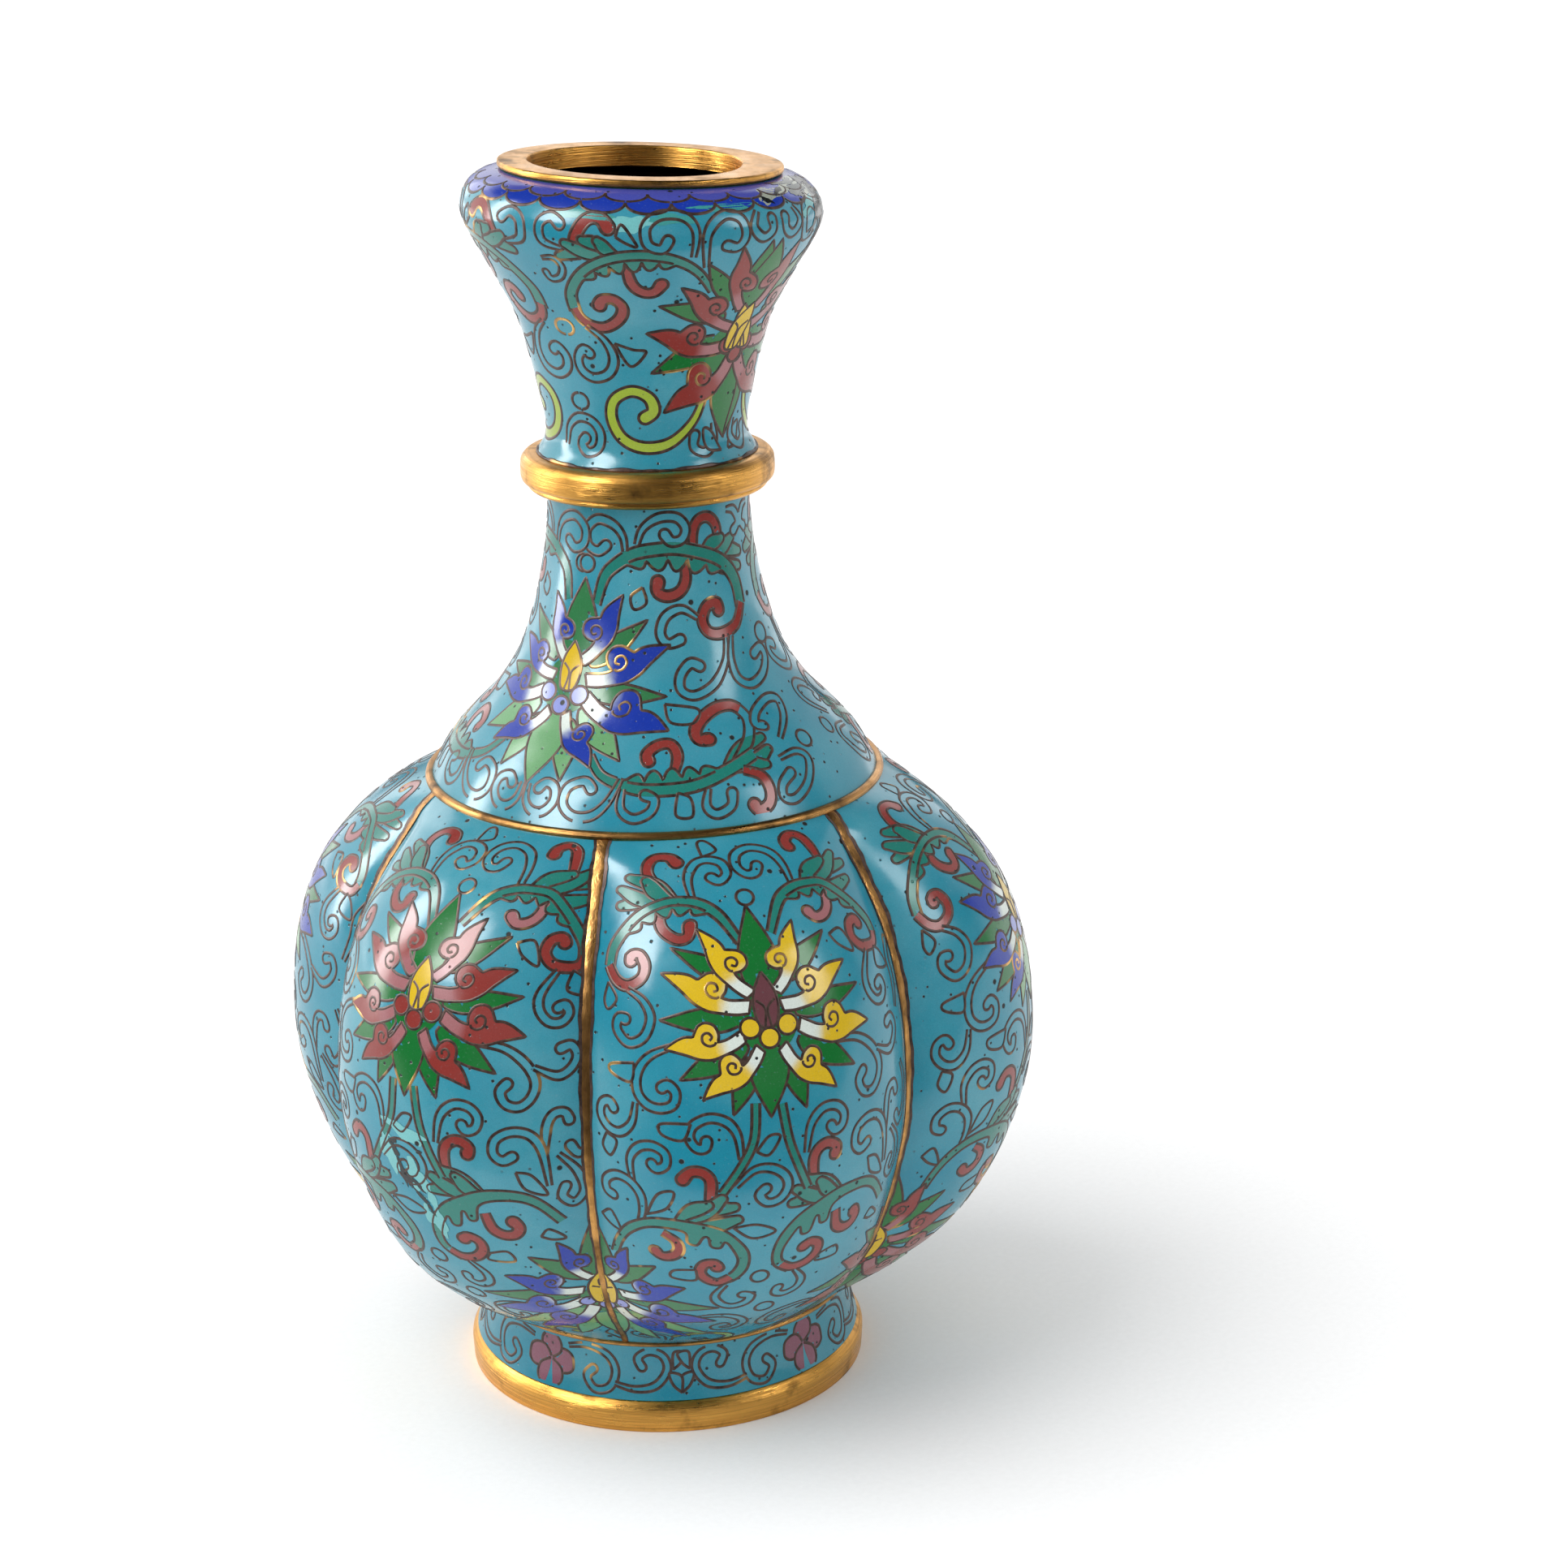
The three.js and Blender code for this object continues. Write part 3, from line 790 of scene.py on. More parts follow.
@dataclass
class LobedBody:
    """Six enamelled lobes, the gilt wires in the grooves between them, and the copper behind."""

    rows: int = 120
    columns: int = 56
    wire_half_width: float = 0.85
    bed_half_width: float = 1.2

    def build(self, enamel: Material, rubbed: Material, dull: Material) -> None:
        """Makes the lobes, the groove wires and the dull metal that each wire is bedded in."""
        foot = float(WALL.way_up(np.array(self.low_edge)))
        shoulder = float(WALL.way_up(np.array(self.high_edge)))
        for i in range(LOBES):
            chart = LobeChart(i * LOBE_ANGLE)
            m = np.linspace(foot, shoulder, self.rows)[:, None].repeat(self.columns, 1)
            share = np.linspace(-1, 1, self.columns)[None]
            x = share * (WALL.half_width(m) - GROOVE_MARGIN)
            make_piece(f"lobe_{i + 1}", *enamel_slab(chart, x, m), enamel, "turquoise_enamel",
                       [f"lobe_enamel_{i + 1}"])
            self._groove_strip(f"groove_{i + 1}", i, (foot, shoulder), self.wire_half_width, True,
                               rubbed, [f"groove_wire_{i + 1}"])
            self._groove_strip(f"groove_bed_{i + 1}", i, (foot, shoulder), self.bed_half_width,
                               False, dull, [])

    @property
    def low_edge(self) -> float:
        """Height of the enamel's lower edge, inside the foot's fillet."""
        return node_top("foot_fillet") - 0.15

    @property
    def high_edge(self) -> float:
        """Height of the enamel's upper edge, inside the shoulder's fillet."""
        return node_bottom("shoulder_fillet") + 0.55

    def _groove_strip(self, name: str, i: int, span: tuple[float, float], half_width: float,
                      bridging: bool, finish: Material, nodes: list[str]) -> None:
        """A strip along one groove, a little uneven along its length.

        Args:
            name: The piece's name.
            i: The lobe that the groove comes after.
            span: Where it starts and ends, up the wall.
            half_width: Half of its greatest width.
            bridging: Whether it lies flat across the groove, or lines the slopes on both sides.
            finish: Its material.
            nodes: The CAD nodes it stands for.
        """
        facing = (i + 0.5) * LOBE_ANGLE
        m = np.linspace(*span, 150)
        z = WALL.height(m)
        _, arc, groove = WALL.section(z)
        lean = np.tan(np.arcsin(np.clip(groove * 0.5 / arc, -1, 1)) - LOBE_ANGLE / 2)
        slope = np.gradient(groove, z)
        scale = 1 / np.hypot(1, slope)
        wave = 1 + 0.09 * np.sin(m * 0.53 + i) + 0.05 * np.sin(m * 1.7 + 2 * i)
        wave = wave * (0.46 + 0.64 * np.clip((m - 15) / 85, 0, 1))
        edge = half_width * wave * lean
        flat = ((-1.0, 0.5, -0.3), (-0.97, 0.95, 0.02), (-0.6, 0.95, 0.1), (0.6, 0.95, 0.1),
                (0.97, 0.95, 0.02), (1.0, 0.5, -0.3))
        trough = ((-1.0, 0.8, -0.25), (-1.0, 1.0, 0.045), (0.0, 0.3, 0.0), (1.0, 1.0, 0.045),
                  (1.0, 0.8, -0.25), (0.0, -0.3, -0.2))
        profile = flat if bridging else trough
        rows = []
        for across, share, extra in profile:
            lift = share * edge + extra
            r = groove + lift * scale
            height = z - slope * lift * scale
            side = across * half_width * wave
            rows.append(np.stack([r * math.sin(facing) + side * math.cos(facing),
                                  -r * math.cos(facing) + side * math.sin(facing), height], -1))
        count = len(m)
        points = np.stack(rows, 1).reshape(-1, 3)
        faces = grid_faces(count, len(profile), wraps=True)
        faces.append(tuple(range(len(profile)))[::-1])
        faces.append(tuple((count - 1) * len(profile) + k for k in range(len(profile))))
        make_piece(name, points, faces, finish, "gilt_brass", nodes)


@dataclass
class TurnedEnamel:
    """One enamelled band of the neck, shoulder or foot, between two heights of a turned wall."""

    name: str
    node: str
    slot: str
    wall: TurnedChart
    low: float
    high: float
    rows: int = 60
    columns: int = 240

    def build(self, enamel: Material) -> None:
        """Makes the band as a closed ring of enamel."""
        angles = np.arange(self.columns) * TURN / self.columns
        m = np.linspace(self.wall.way_up(self.low), self.wall.way_up(self.high), self.rows)
        angle_grid, m_grid = np.meshgrid(angles, m)
        x = angle_grid * self.wall.radius(m_grid)
        make_piece(self.name, *enamel_slab(self.wall, x, m_grid, True), enamel, self.slot, [self.node])


UPPER_WALL = TurnedChart(
    ((17.2, 155.4), (16.9, 156.1), (15.9, 158.0), (15.9, 161.0), (17.1, 167.0), (19.5, 176.0),
     (22.5, 182.2), (26.2, 188.6), (27.7, 191.8), (27.8, 194.2), (26.6, 196.6), (24.7, 198.0),
     (22.6, 198.7), (21.4, 198.9)), 156.1, knocked=True)
LOWER_WALL = TurnedChart(
    ((15.8, 149.4), (16.3, 142.0), (17.3, 136.0), (18.8, 129.8), (21.4, 122.8), (25.0, 117.2),
     (29.4, 112.6), (33.0, 108.5), (35.8, 103.5)), 104.2)
FOOT_SIDE = TurnedChart(((31.0, 14.6), (30.9, 11.5), (31.4, 8.0), (32.2, 5.3)), 5.6)
BAND_SEAM = 188.75
BANDS = (
    TurnedEnamel("upper_neck", "upper_neck_enamel", "turquoise_enamel", UPPER_WALL, 155.6, BAND_SEAM),
    TurnedEnamel("mouth_band", "scale_band_enamel", "scale_band_enamel", UPPER_WALL, BAND_SEAM,
                 198.9, 44),
    TurnedEnamel("lower_neck", "lower_neck_enamel", "turquoise_enamel", LOWER_WALL, 103.5, 149.4),
    TurnedEnamel("foot_wall", "foot_enamel", "turquoise_enamel", FOOT_SIDE, 5.3, 14.6, 20))


# ---------- drawing
@dataclass
class Shape:
    """One shape of the drawing: an outline that covers what lies under it, its wires and its glaze.

    Attributes:
        outline: The closed outline.
        wires: The wires that it is drawn with.
        glaze: The colour inside, or none where the ground shows.
        root: The colour that the glaze fades from.
        fade: Where the root colour ends and where the glaze is full, as two points.
        layer: How far forward it lies.
    """

    outline: Array
    wires: list[Array]
    glaze: Glaze | None = None
    root: Glaze | None = None
    fade: Array | None = None
    layer: int = 0

    def moved(self, move: Callable[[Array], Array]) -> "Shape":
        """The same shape, with every point moved."""
        fade = None if self.fade is None else move(self.fade)
        return Shape(move(self.outline), [move(wire) for wire in self.wires], self.glaze,
                     self.root, fade, self.layer)

    def colours(self, points: Array) -> Array:
        """Linear colour at each of some points inside the shape."""
        full = np.array(self.glaze.value)
        if self.fade is None or self.root is None:
            return np.repeat(full[None], len(points), 0)
        axis = self.fade[1] - self.fade[0]
        share = np.clip(((points - self.fade[0]) @ axis) / (axis @ axis), 0, 1)[:, None]
        share = share * share * (3 - 2 * share)
        return np.array(self.root.value) * (1 - share) + full * share


def is_point(value: object) -> bool:
    """Whether a value is a point of the drawing."""
    return isinstance(value, tuple) and len(value) == 2 and not isinstance(value[0], tuple)


def points_in(value: object) -> list[Point]:
    """All the points in a value, however deep they are nested."""
    if is_point(value):
        return [value]
    return [p for item in value for p in points_in(item)] if isinstance(value, tuple) else []


def with_points(value: object, move: Callable[[Array], Array]) -> object:
    """The same value, with every point in it moved."""
    if is_point(value):
        x, m = move(np.array([value], float))[0]
        return float(x), float(m)
    return tuple(with_points(item, move) for item in value) if isinstance(value, tuple) else value


class Mark(ABC):
    """Something that the maker draws."""

    @abstractmethod
    def shapes(self) -> list[Shape]:
        """The shapes that it is made of, from the back to the front."""

    def in_place(self, chart: Chart) -> list[Shape]:
        """The shapes drawn true to size at their own place, on a wall whose width changes."""
        values = {item.name: getattr(self, item.name) for item in fields(self)}
        x, m = np.mean(points_in(tuple(values.values())), axis=0)

        def shift(p: Array, way: float) -> Array:
            """Points moved to the mark's own plumb line, or back from it."""
            return slid(p[:, 0] + way * chart.plumb(x, m, p[:, 1]), p[:, 1])

        near = replace(self, **{name: with_points(value, lambda p: shift(p, -1))
                                for name, value in values.items()})
        return [shape.moved(lambda p: shift(p, 1)) for shape in near.shapes()]


@dataclass(frozen=True)
class Scroll(Mark):
    """A curled stem between two wires. It starts narrow and ends in a rounded curl.

    Attributes:
        path: The stem's middle line.
        glaze: Its colour, or none where the ground shows.
        half: Half of its width.
        start: Its width at the start, as a share of its full width.
        capped: Whether it ends in a rounded tip.
        teeth: Rounded leaf lobes along its hollow side.
    """

    path: tuple[Point, ...]
    glaze: Glaze | None = None
    half: float = 0.72
    start: float = 0.5
    capped: bool = True
    teeth: int = 0

    def shapes(self) -> list[Shape]:
        """The stem as one shape."""
        line = evenly(catmull(self.path, 8), 0.25 if self.teeth else 0.35)
        ahead = np.gradient(line, axis=0)
        ahead /= np.linalg.norm(ahead, axis=1)[:, None]
        side = np.stack([-ahead[:, 1], ahead[:, 0]], -1)
        t = np.linspace(0, 1, len(line))[:, None]
        grow = self.start + (1 - self.start) * np.clip(t / 0.35, 0, 1)
        half = self.half * grow
        if self.capped:
            half = half * (1 + 0.22 * np.clip((t - 0.86) / 0.14, 0, 1))
        left, right = line + side * half, line - side * half
        if self.capped:
            end, reach = line[-1], float(half[-1, 0])
            turn = np.linspace(0, math.pi, 7)[1:-1, None]
            cap = end + reach * (np.cos(turn) * side[-1] + np.sin(turn) * ahead[-1])
            wire = np.vstack([left, cap, right[::-1]])
            return [Shape(wire, [wire], self.glaze)]
        wires = [left, right]
        if self.teeth:
            turning = np.cross(ahead[:-1], ahead[1:]).sum()
            share = np.clip((t[:, 0] - 0.26) / 0.52, 0, 1)
            lobe = np.abs(np.sin(math.pi * self.teeth * share)) ** 0.6
            deep = (self.half * 2.1 * np.sin(math.pi * share) ** 0.5 * lobe)[:, None]
            vein = (share > 0.02) & (share < 0.98)
            if turning > 0:
                wires = [left + side * deep, right, (line + side * half * 0.75)[vein]]
            else:
                wires = [left, right - side * deep, (line - side * half * 0.75)[vein]]
        return [Shape(np.vstack([wires[0], wires[1][::-1]]), wires, self.glaze)]


@dataclass(frozen=True)
class Blade(Mark):
    """A leaf or stem between two separately drawn edges, open at its ends."""

    outer: tuple[Point, ...]
    inner: tuple[Point, ...]
    glaze: Glaze | None = None

    def shapes(self) -> list[Shape]:
        """The blade as one shape."""
        outer, inner = catmull(self.outer, 6), catmull(self.inner, 6)
        outline = np.vstack([outer, inner])
        return [Shape(outline, [outer, inner], self.glaze)]


@dataclass(frozen=True)
class Almond(Mark):
    """A drop, pointed at its first corner and round at the others."""

    corners: tuple[Point, Point, Point, Point]
    glaze: Glaze | None = None

    def shapes(self) -> list[Shape]:
        """The drop as one shape."""
        outline = catmull((*self.corners, self.corners[0]), 8)[:-1]
        return [Shape(outline, [loop(outline)], self.glaze)]


@dataclass(frozen=True)
class Ring(Mark):
    """A small ring or berry."""

    middle: Point
    radius: float = 1.4
    glaze: Glaze | None = None
    layer: int = 0

    def shapes(self) -> list[Shape]:
        """The ring as one shape."""
        angle = np.linspace(0, TURN, 25)
        circle = np.array(self.middle) + self.radius * np.stack([np.cos(angle), np.sin(angle)], -1)
        return [Shape(circle[:-1], [circle], self.glaze, layer=self.layer)]


@dataclass(frozen=True)
class Blot(Mark):
    """An uneven spot of other enamel, from a repair or a chip, with no wire round it."""

    middle: Point
    wide: float
    tall: float
    glaze: Glaze
    turn: float = 0.0
    layer: int = 0

    def shapes(self) -> list[Shape]:
        """The spot as one shape."""
        a = np.linspace(0, TURN, 40, endpoint=False)
        seed = self.middle[0] + 2 * self.middle[1]
        wave = 1 + 0.2 * np.sin(3 * a + seed) + 0.14 * np.sin(5 * a + 2 * seed) \
            + 0.09 * np.sin(9 * a + 3 * seed)
        x, y = self.wide * np.cos(a) * wave, self.tall * np.sin(a) * wave
        c, s = math.cos(self.turn), math.sin(self.turn)
        outline = np.stack([x * c - y * s, x * s + y * c], -1) + np.array(self.middle)
        return [Shape(outline, [], self.glaze, layer=self.layer)]


@dataclass(frozen=True)
class Frond(Mark):
    """A curly teal leaf: rounded lobes that fan out from a root, each drawn over the last."""

    root: Point
    tips: tuple[Point, ...]
    half: float = 1.25
    glaze: Glaze | None = Glaze.TEAL

    def shapes(self) -> list[Shape]:
        """The lobes, back to front."""
        found = []
        for i, tip in enumerate(self.tips):
            root, along, side, reach = axes(self.root, tip)
            t = np.linspace(0, 1, 15)[:, None]
            bend = side * 0.08 * reach * np.sin(math.pi * t) * (1 if i % 2 else -1)
            body = root + along * reach * t * 0.92 + bend
            half = self.half * (0.35 + 0.65 * np.sin(math.pi * np.clip(t, 0, 1) ** 1.3 * 0.85))
            turn = np.linspace(0, math.pi, 7)[1:-1, None]
            last = float(half[-1, 0])
            cap = body[-1] + last * (np.cos(turn) * side + np.sin(turn) * along)
            wire = np.vstack([body + side * half, cap, (body - side * half)[::-1]])
            found.append(Shape(wire, [wire], self.glaze))
        return found


@dataclass(frozen=True)
class Leaf(Mark):
    """A pointed leaf behind a flower, with its belly nearer the root."""

    root: Point
    tip: Point
    half: float
    glaze: Glaze

    def shapes(self) -> list[Shape]:
        """The leaf as one shape."""
        root, along, side, reach = axes(self.root, self.tip)
        t = np.linspace(0, 1, 22)[:, None]
        line = root + along * reach * t
        half = self.half * (np.sin(math.pi * t ** 0.75) ** 1.05 + 0.25 * (1 - t) ** 2)
        outline = np.vstack([line + side * half, (line - side * half)[::-1][1:]])
        return [Shape(outline, [loop(outline)], self.glaze, layer=1)]


@dataclass(frozen=True)
class Petal(Mark):
    """A flower's hooked petal, with a curl on one flank and a pale stem."""

    root: Point
    tip: Point
    hand: int
    glaze: Glaze
    stem: Glaze
    EDGES = (
        ((0.3, 1.1), (1.7, 0.6), (3.2, 0.1), (4.6, 0.0)),
        ((4.6, 0.0), (4.15, 1.25), (4.5, 2.75), (5.84, 3.41), (7.09, 3.03), (7.9, 2.1), (8.4, 1.4)),
        ((8.4, 1.4), (9.74, 1.56), (11.39, 1.13), (13.74, 0.0)),
        ((13.74, 0.0), (12.43, -0.45), (10.22, -1.31), (8.25, -2.25), (6.17, -2.62), (4.16, -2.27),
         (1.72, -1.64), (-0.1, -0.82)))
    CURL = ((4.9, 0.1), (5.2, -0.3), (6.2, -0.35), (7.0, 0.4), (6.75, 1.5), (5.8, 1.75), (5.3, 1.0),
            (5.85, 0.5))
    LENGTH = 13.74

    def shapes(self) -> list[Shape]:
        """The petal as one shape."""
        root, tip = np.array(self.root, float), np.array(self.tip, float)
        along = (tip - root) / self.LENGTH
        side = self.hand * np.array((along[1], -along[0]))

        def lay(points: Sequence[Point] | Array) -> Array:
            """Template points laid along this petal."""
            p = np.asarray(points, float)
            return root + p[:, :1] * along + p[:, 1:] * side

        outline = np.vstack([catmull(edge, 6)[:-1] for edge in self.EDGES])
        fade = lay(((3.0, 0.0), (5.0, 0.0)))
        wires = [lay(loop(outline)), lay(catmull(self.CURL, 5))]
        return [Shape(lay(outline), wires, self.glaze, self.stem, fade, 2)]


@dataclass(frozen=True)
class Bloom:
    """The colours of one flower."""

    petal: Glaze
    stem: Glaze
    bud: Glaze
    berry: Glaze
    leaf: Glaze = Glaze.GREEN
    low_leaf: Glaze = Glaze.GREEN


YELLOW_BLOOM = Bloom(Glaze.YELLOW, Glaze.WHITE, Glaze.PLUM, Glaze.YELLOW)
RED_BLOOM = Bloom(Glaze.RED, Glaze.ROSE, Glaze.YELLOW, Glaze.RED)
BLUE_BLOOM = Bloom(Glaze.COBALT, Glaze.WHITE, Glaze.YELLOW, Glaze.LAVENDER, Glaze.LEAF, Glaze.PALE_GREEN)


@dataclass(frozen=True)
class Flower(Mark):
    """A lotus: leaves behind, eight hooked petals, three berries and a pointed bud.

    Attributes:
        bloom: Its colours.
        leaves: Root, tip and half-width of each leaf.
        petals: Root, tip and hand of each petal.
        berries: Middle and radius of each berry.
        bud: The bud's tip, widest height, foot and half-width.
    """

    bloom: Bloom
    leaves: tuple[tuple[Point, Point, float], ...]
    petals: tuple[tuple[Point, Point, int], ...]
    berries: tuple[tuple[Point, float], ...]
    bud: tuple[float, float, float, float, float]

    def in_place(self, chart: Chart) -> list[Shape]:
        """The flower as drawn. It sits on its chart's middle, where the drawing is true."""
        return self.shapes()

    def shapes(self) -> list[Shape]:
        """All the flower's shapes, back to front."""
        found: list[Shape] = []
        for i, (root, tip, half) in enumerate(self.leaves):
            glaze = self.bloom.low_leaf if tip[1] < self.bud[3] - 8 else self.bloom.leaf
            found += Leaf(root, tip, half, glaze).shapes()
        heart = Ring((self.bud[0], self.bud[3] + 0.8), 4.6, self.bloom.leaf, 1).shapes()[0]
        heart.wires = []
        found.append(heart)
        for root, tip, hand in self.petals:
            found += Petal(root, tip, hand, self.bloom.petal, self.bloom.stem).shapes()
        for middle, radius in self.berries:
            found += Ring(middle, radius, self.bloom.berry, layer=3).shapes()
        x, top, wide, foot, half = self.bud
        left = catmull(((x, top), (x - half * 0.75, (top + wide) / 2), (x - half, wide),
                        (x - half * 0.7, foot + 0.6), (x, foot)), 6)
        right = mirrored(left[::-1]) + (2 * x, 0)
        outline = np.vstack([left, right[1:-1]])
        inner = [catmull(((x + s * half * 0.75, wide + 0.9), (x + s * half * 0.1, wide - 0.4),
                          (x + s * half * 0.25, foot + 0.3)), 6) for s in (-1, 1)]
        found.append(Shape(outline, [loop(outline), *inner], self.bloom.bud, layer=4))
        return found


def inside(points: Array, polygon: Array) -> Array:
    """Which points lie inside a closed polygon."""
    hit = np.zeros(len(points), bool)
    low, high = polygon.min(0), polygon.max(0)
    near = np.all((points > low) & (points < high), axis=1)
    if not near.any():
        return hit
    p = points[near]
    a, b = polygon, np.roll(polygon, -1, 0)
    rise = np.where(b[:, 1] == a[:, 1], 1e-12, b[:, 1] - a[:, 1])
    crosses = (a[:, 1] > p[:, 1:]) != (b[:, 1] > p[:, 1:])
    at = a[:, 0] + (p[:, 1:] - a[:, 1]) * (b[:, 0] - a[:, 0]) / rise
    hit[near] = (crosses & (p[:, :1] < at)).sum(1) % 2 == 1
    return hit


@dataclass
class Window:
    """The part of a chart that a drawing may fill, as wide to the left as to the right."""

    half: Callable[[Array], Array]
    low: float
    high: float

    def holds(self, points: Array) -> Array:
        """Which points lie in the window."""
        x, m = points.T
        return (abs(x) < self.half(m)) & (m > self.low) & (m < self.high)

    def clamp(self, points: Array) -> Array:
        """Points pulled to the nearest place in the window."""
        m = np.clip(points[:, 1], self.low, self.high)
        return slid(np.clip(points[:, 0], -self.half(m), self.half(m)), m)


Lengths = list[tuple[Array, int]]


class Drawing:
    """A flat drawing built up from back to front."""

    STEP = 0.34
    LONG = 14

    def __init__(self, marks: Iterable[Mark] = (), chart: Chart | None = None) -> None:
        """Starts a drawing from its marks, drawn true to size when their wall is given."""
        self.shapes: list[Shape] = [shape for mark in marks for shape in
                                    (mark.in_place(chart) if chart else mark.shapes())]

    def moved(self, move: Callable[[Array], Array]) -> "Drawing":
        """The drawing with every point moved."""
        other = Drawing()
        other.shapes = [shape.moved(move) for shape in self.shapes]
        return other

    def over(self, below: "Drawing") -> "Drawing":
        """This drawing laid over another."""
        both = Drawing()
        both.shapes = below.shapes + self.shapes
        return both

    def wiring(self, window: Window) -> Lengths:
        """Lengths of wire, cut where a later shape covers them, and how far forward each lies."""
        lengths: Lengths = []
        for i, shape in enumerate(self.shapes):
            for wire in shape.wires:
                long = np.linalg.norm(np.diff(wire, axis=0), axis=1).sum() > self.LONG
                line = evenly(wire, self.STEP if long else 0.7 * self.STEP)
                keep = window.holds(line)
                for cover in self.shapes[i + 1:]:
                    keep &= ~inside(line, cover.outline)
                lengths += [(run, shape.layer) for run in self._runs(line, keep)]
        return lengths

    @staticmethod
    def _runs(line: Array, keep: Array) -> list[Array]:
        """The stretches of a line that are kept."""
        runs, start = [], None
        for i, kept in enumerate(np.append(keep, False)):
            if kept and start is None:
                start = i
            elif not kept and start is not None:
                if i - start >= 3:
                    runs.append(line[start:i])
                start = None
        return runs

    def cells(self, window: Window, step: float) -> tuple[Array, list, Array, Array]:
        """The enamel cells, as flat triangles.

        Returns:
            Points, faces, each point's height off the ground and each point's colour.
        """
        points, faces, lifts, colours = [], [], [], []
        count = glazed = 0
        for order, shape in enumerate(self.shapes):
            if shape.glaze is None:
                continue
            outline = window.clamp(evenly(shape.outline, 0.42, closed=True))
            flat, triangles = self._fill(outline, step)
            for cover in (later for later in self.shapes[order + 1:] if later.glaze is not None):
                if len(triangles):
                    hidden = inside(flat[np.array(triangles)].mean(1), cover.outline)
                    triangles = [face for face, covered in zip(triangles, hidden) if not covered]
            if not len(triangles):
                continue
            glazed += 1
            points.append(flat)
            faces += [[count + k for k in face] for face in triangles]
            lifts.append(np.full(len(flat), CELL_LIFT + LAYER_LIFT * shape.layer + ORDER_LIFT * glazed))
            colours.append(shape.colours(flat))
            count += len(flat)
        if not points:
            return np.zeros((0, 2)), [], np.zeros(0), np.zeros((0, 3))
        return np.vstack(points), faces, np.concatenate(lifts), np.vstack(colours)

    def _fill(self, outline: Array, step: float) -> tuple[Array, list]:
        """Triangles inside one closed outline."""
        gap = np.linalg.norm(outline - np.roll(outline, 1, 0), axis=1)
        outline = outline[gap > 0.02]
        if len(outline) < 4:
            return np.zeros((0, 2)), []
        x, y = outline.T
        area = 0.5 * abs(np.sum(x * np.roll(y, -1) - y * np.roll(x, -1)))
        if area < 0.12:
            return np.zeros((0, 2)), []
        low, high = outline.min(0), outline.max(0)
        grid = np.stack(np.meshgrid(np.arange(low[0], high[0], step),
                                    np.arange(low[1], high[1], step)), -1).reshape(-1, 2)
        grid = grid[inside(grid, outline)]
        if len(grid):
            apart = np.linalg.norm(grid[:, None] - outline[None], axis=2).min(1)
            grid = grid[apart > 0.35 * step]
        verts = [Vector(p) for p in np.vstack([outline, grid]).tolist()]
        out = delaunay_2d_cdt(verts, [], [list(range(len(outline)))], 1, 1e-4, False)
        flat = np.array([(v.x, v.y) for v in out[0]])
        triangles = np.array([face[:3] for face in out[2]], int).reshape(-1, 3)
        a, b, c = (flat[triangles[:, k]] for k in range(3))
        turn = (b[:, 0] - a[:, 0]) * (c[:, 1] - a[:, 1]) - (b[:, 1] - a[:, 1]) * (c[:, 0] - a[:, 0])
        kept = inside((a + b + c) / 3, outline) & (abs(turn) > 1e-5)
        triangles[turn < 0] = triangles[turn < 0][:, ::-1]
        return flat, triangles[kept].tolist()


CELL_LIFT = 0.018
LAYER_LIFT = 0.012
ORDER_LIFT = 0.0004


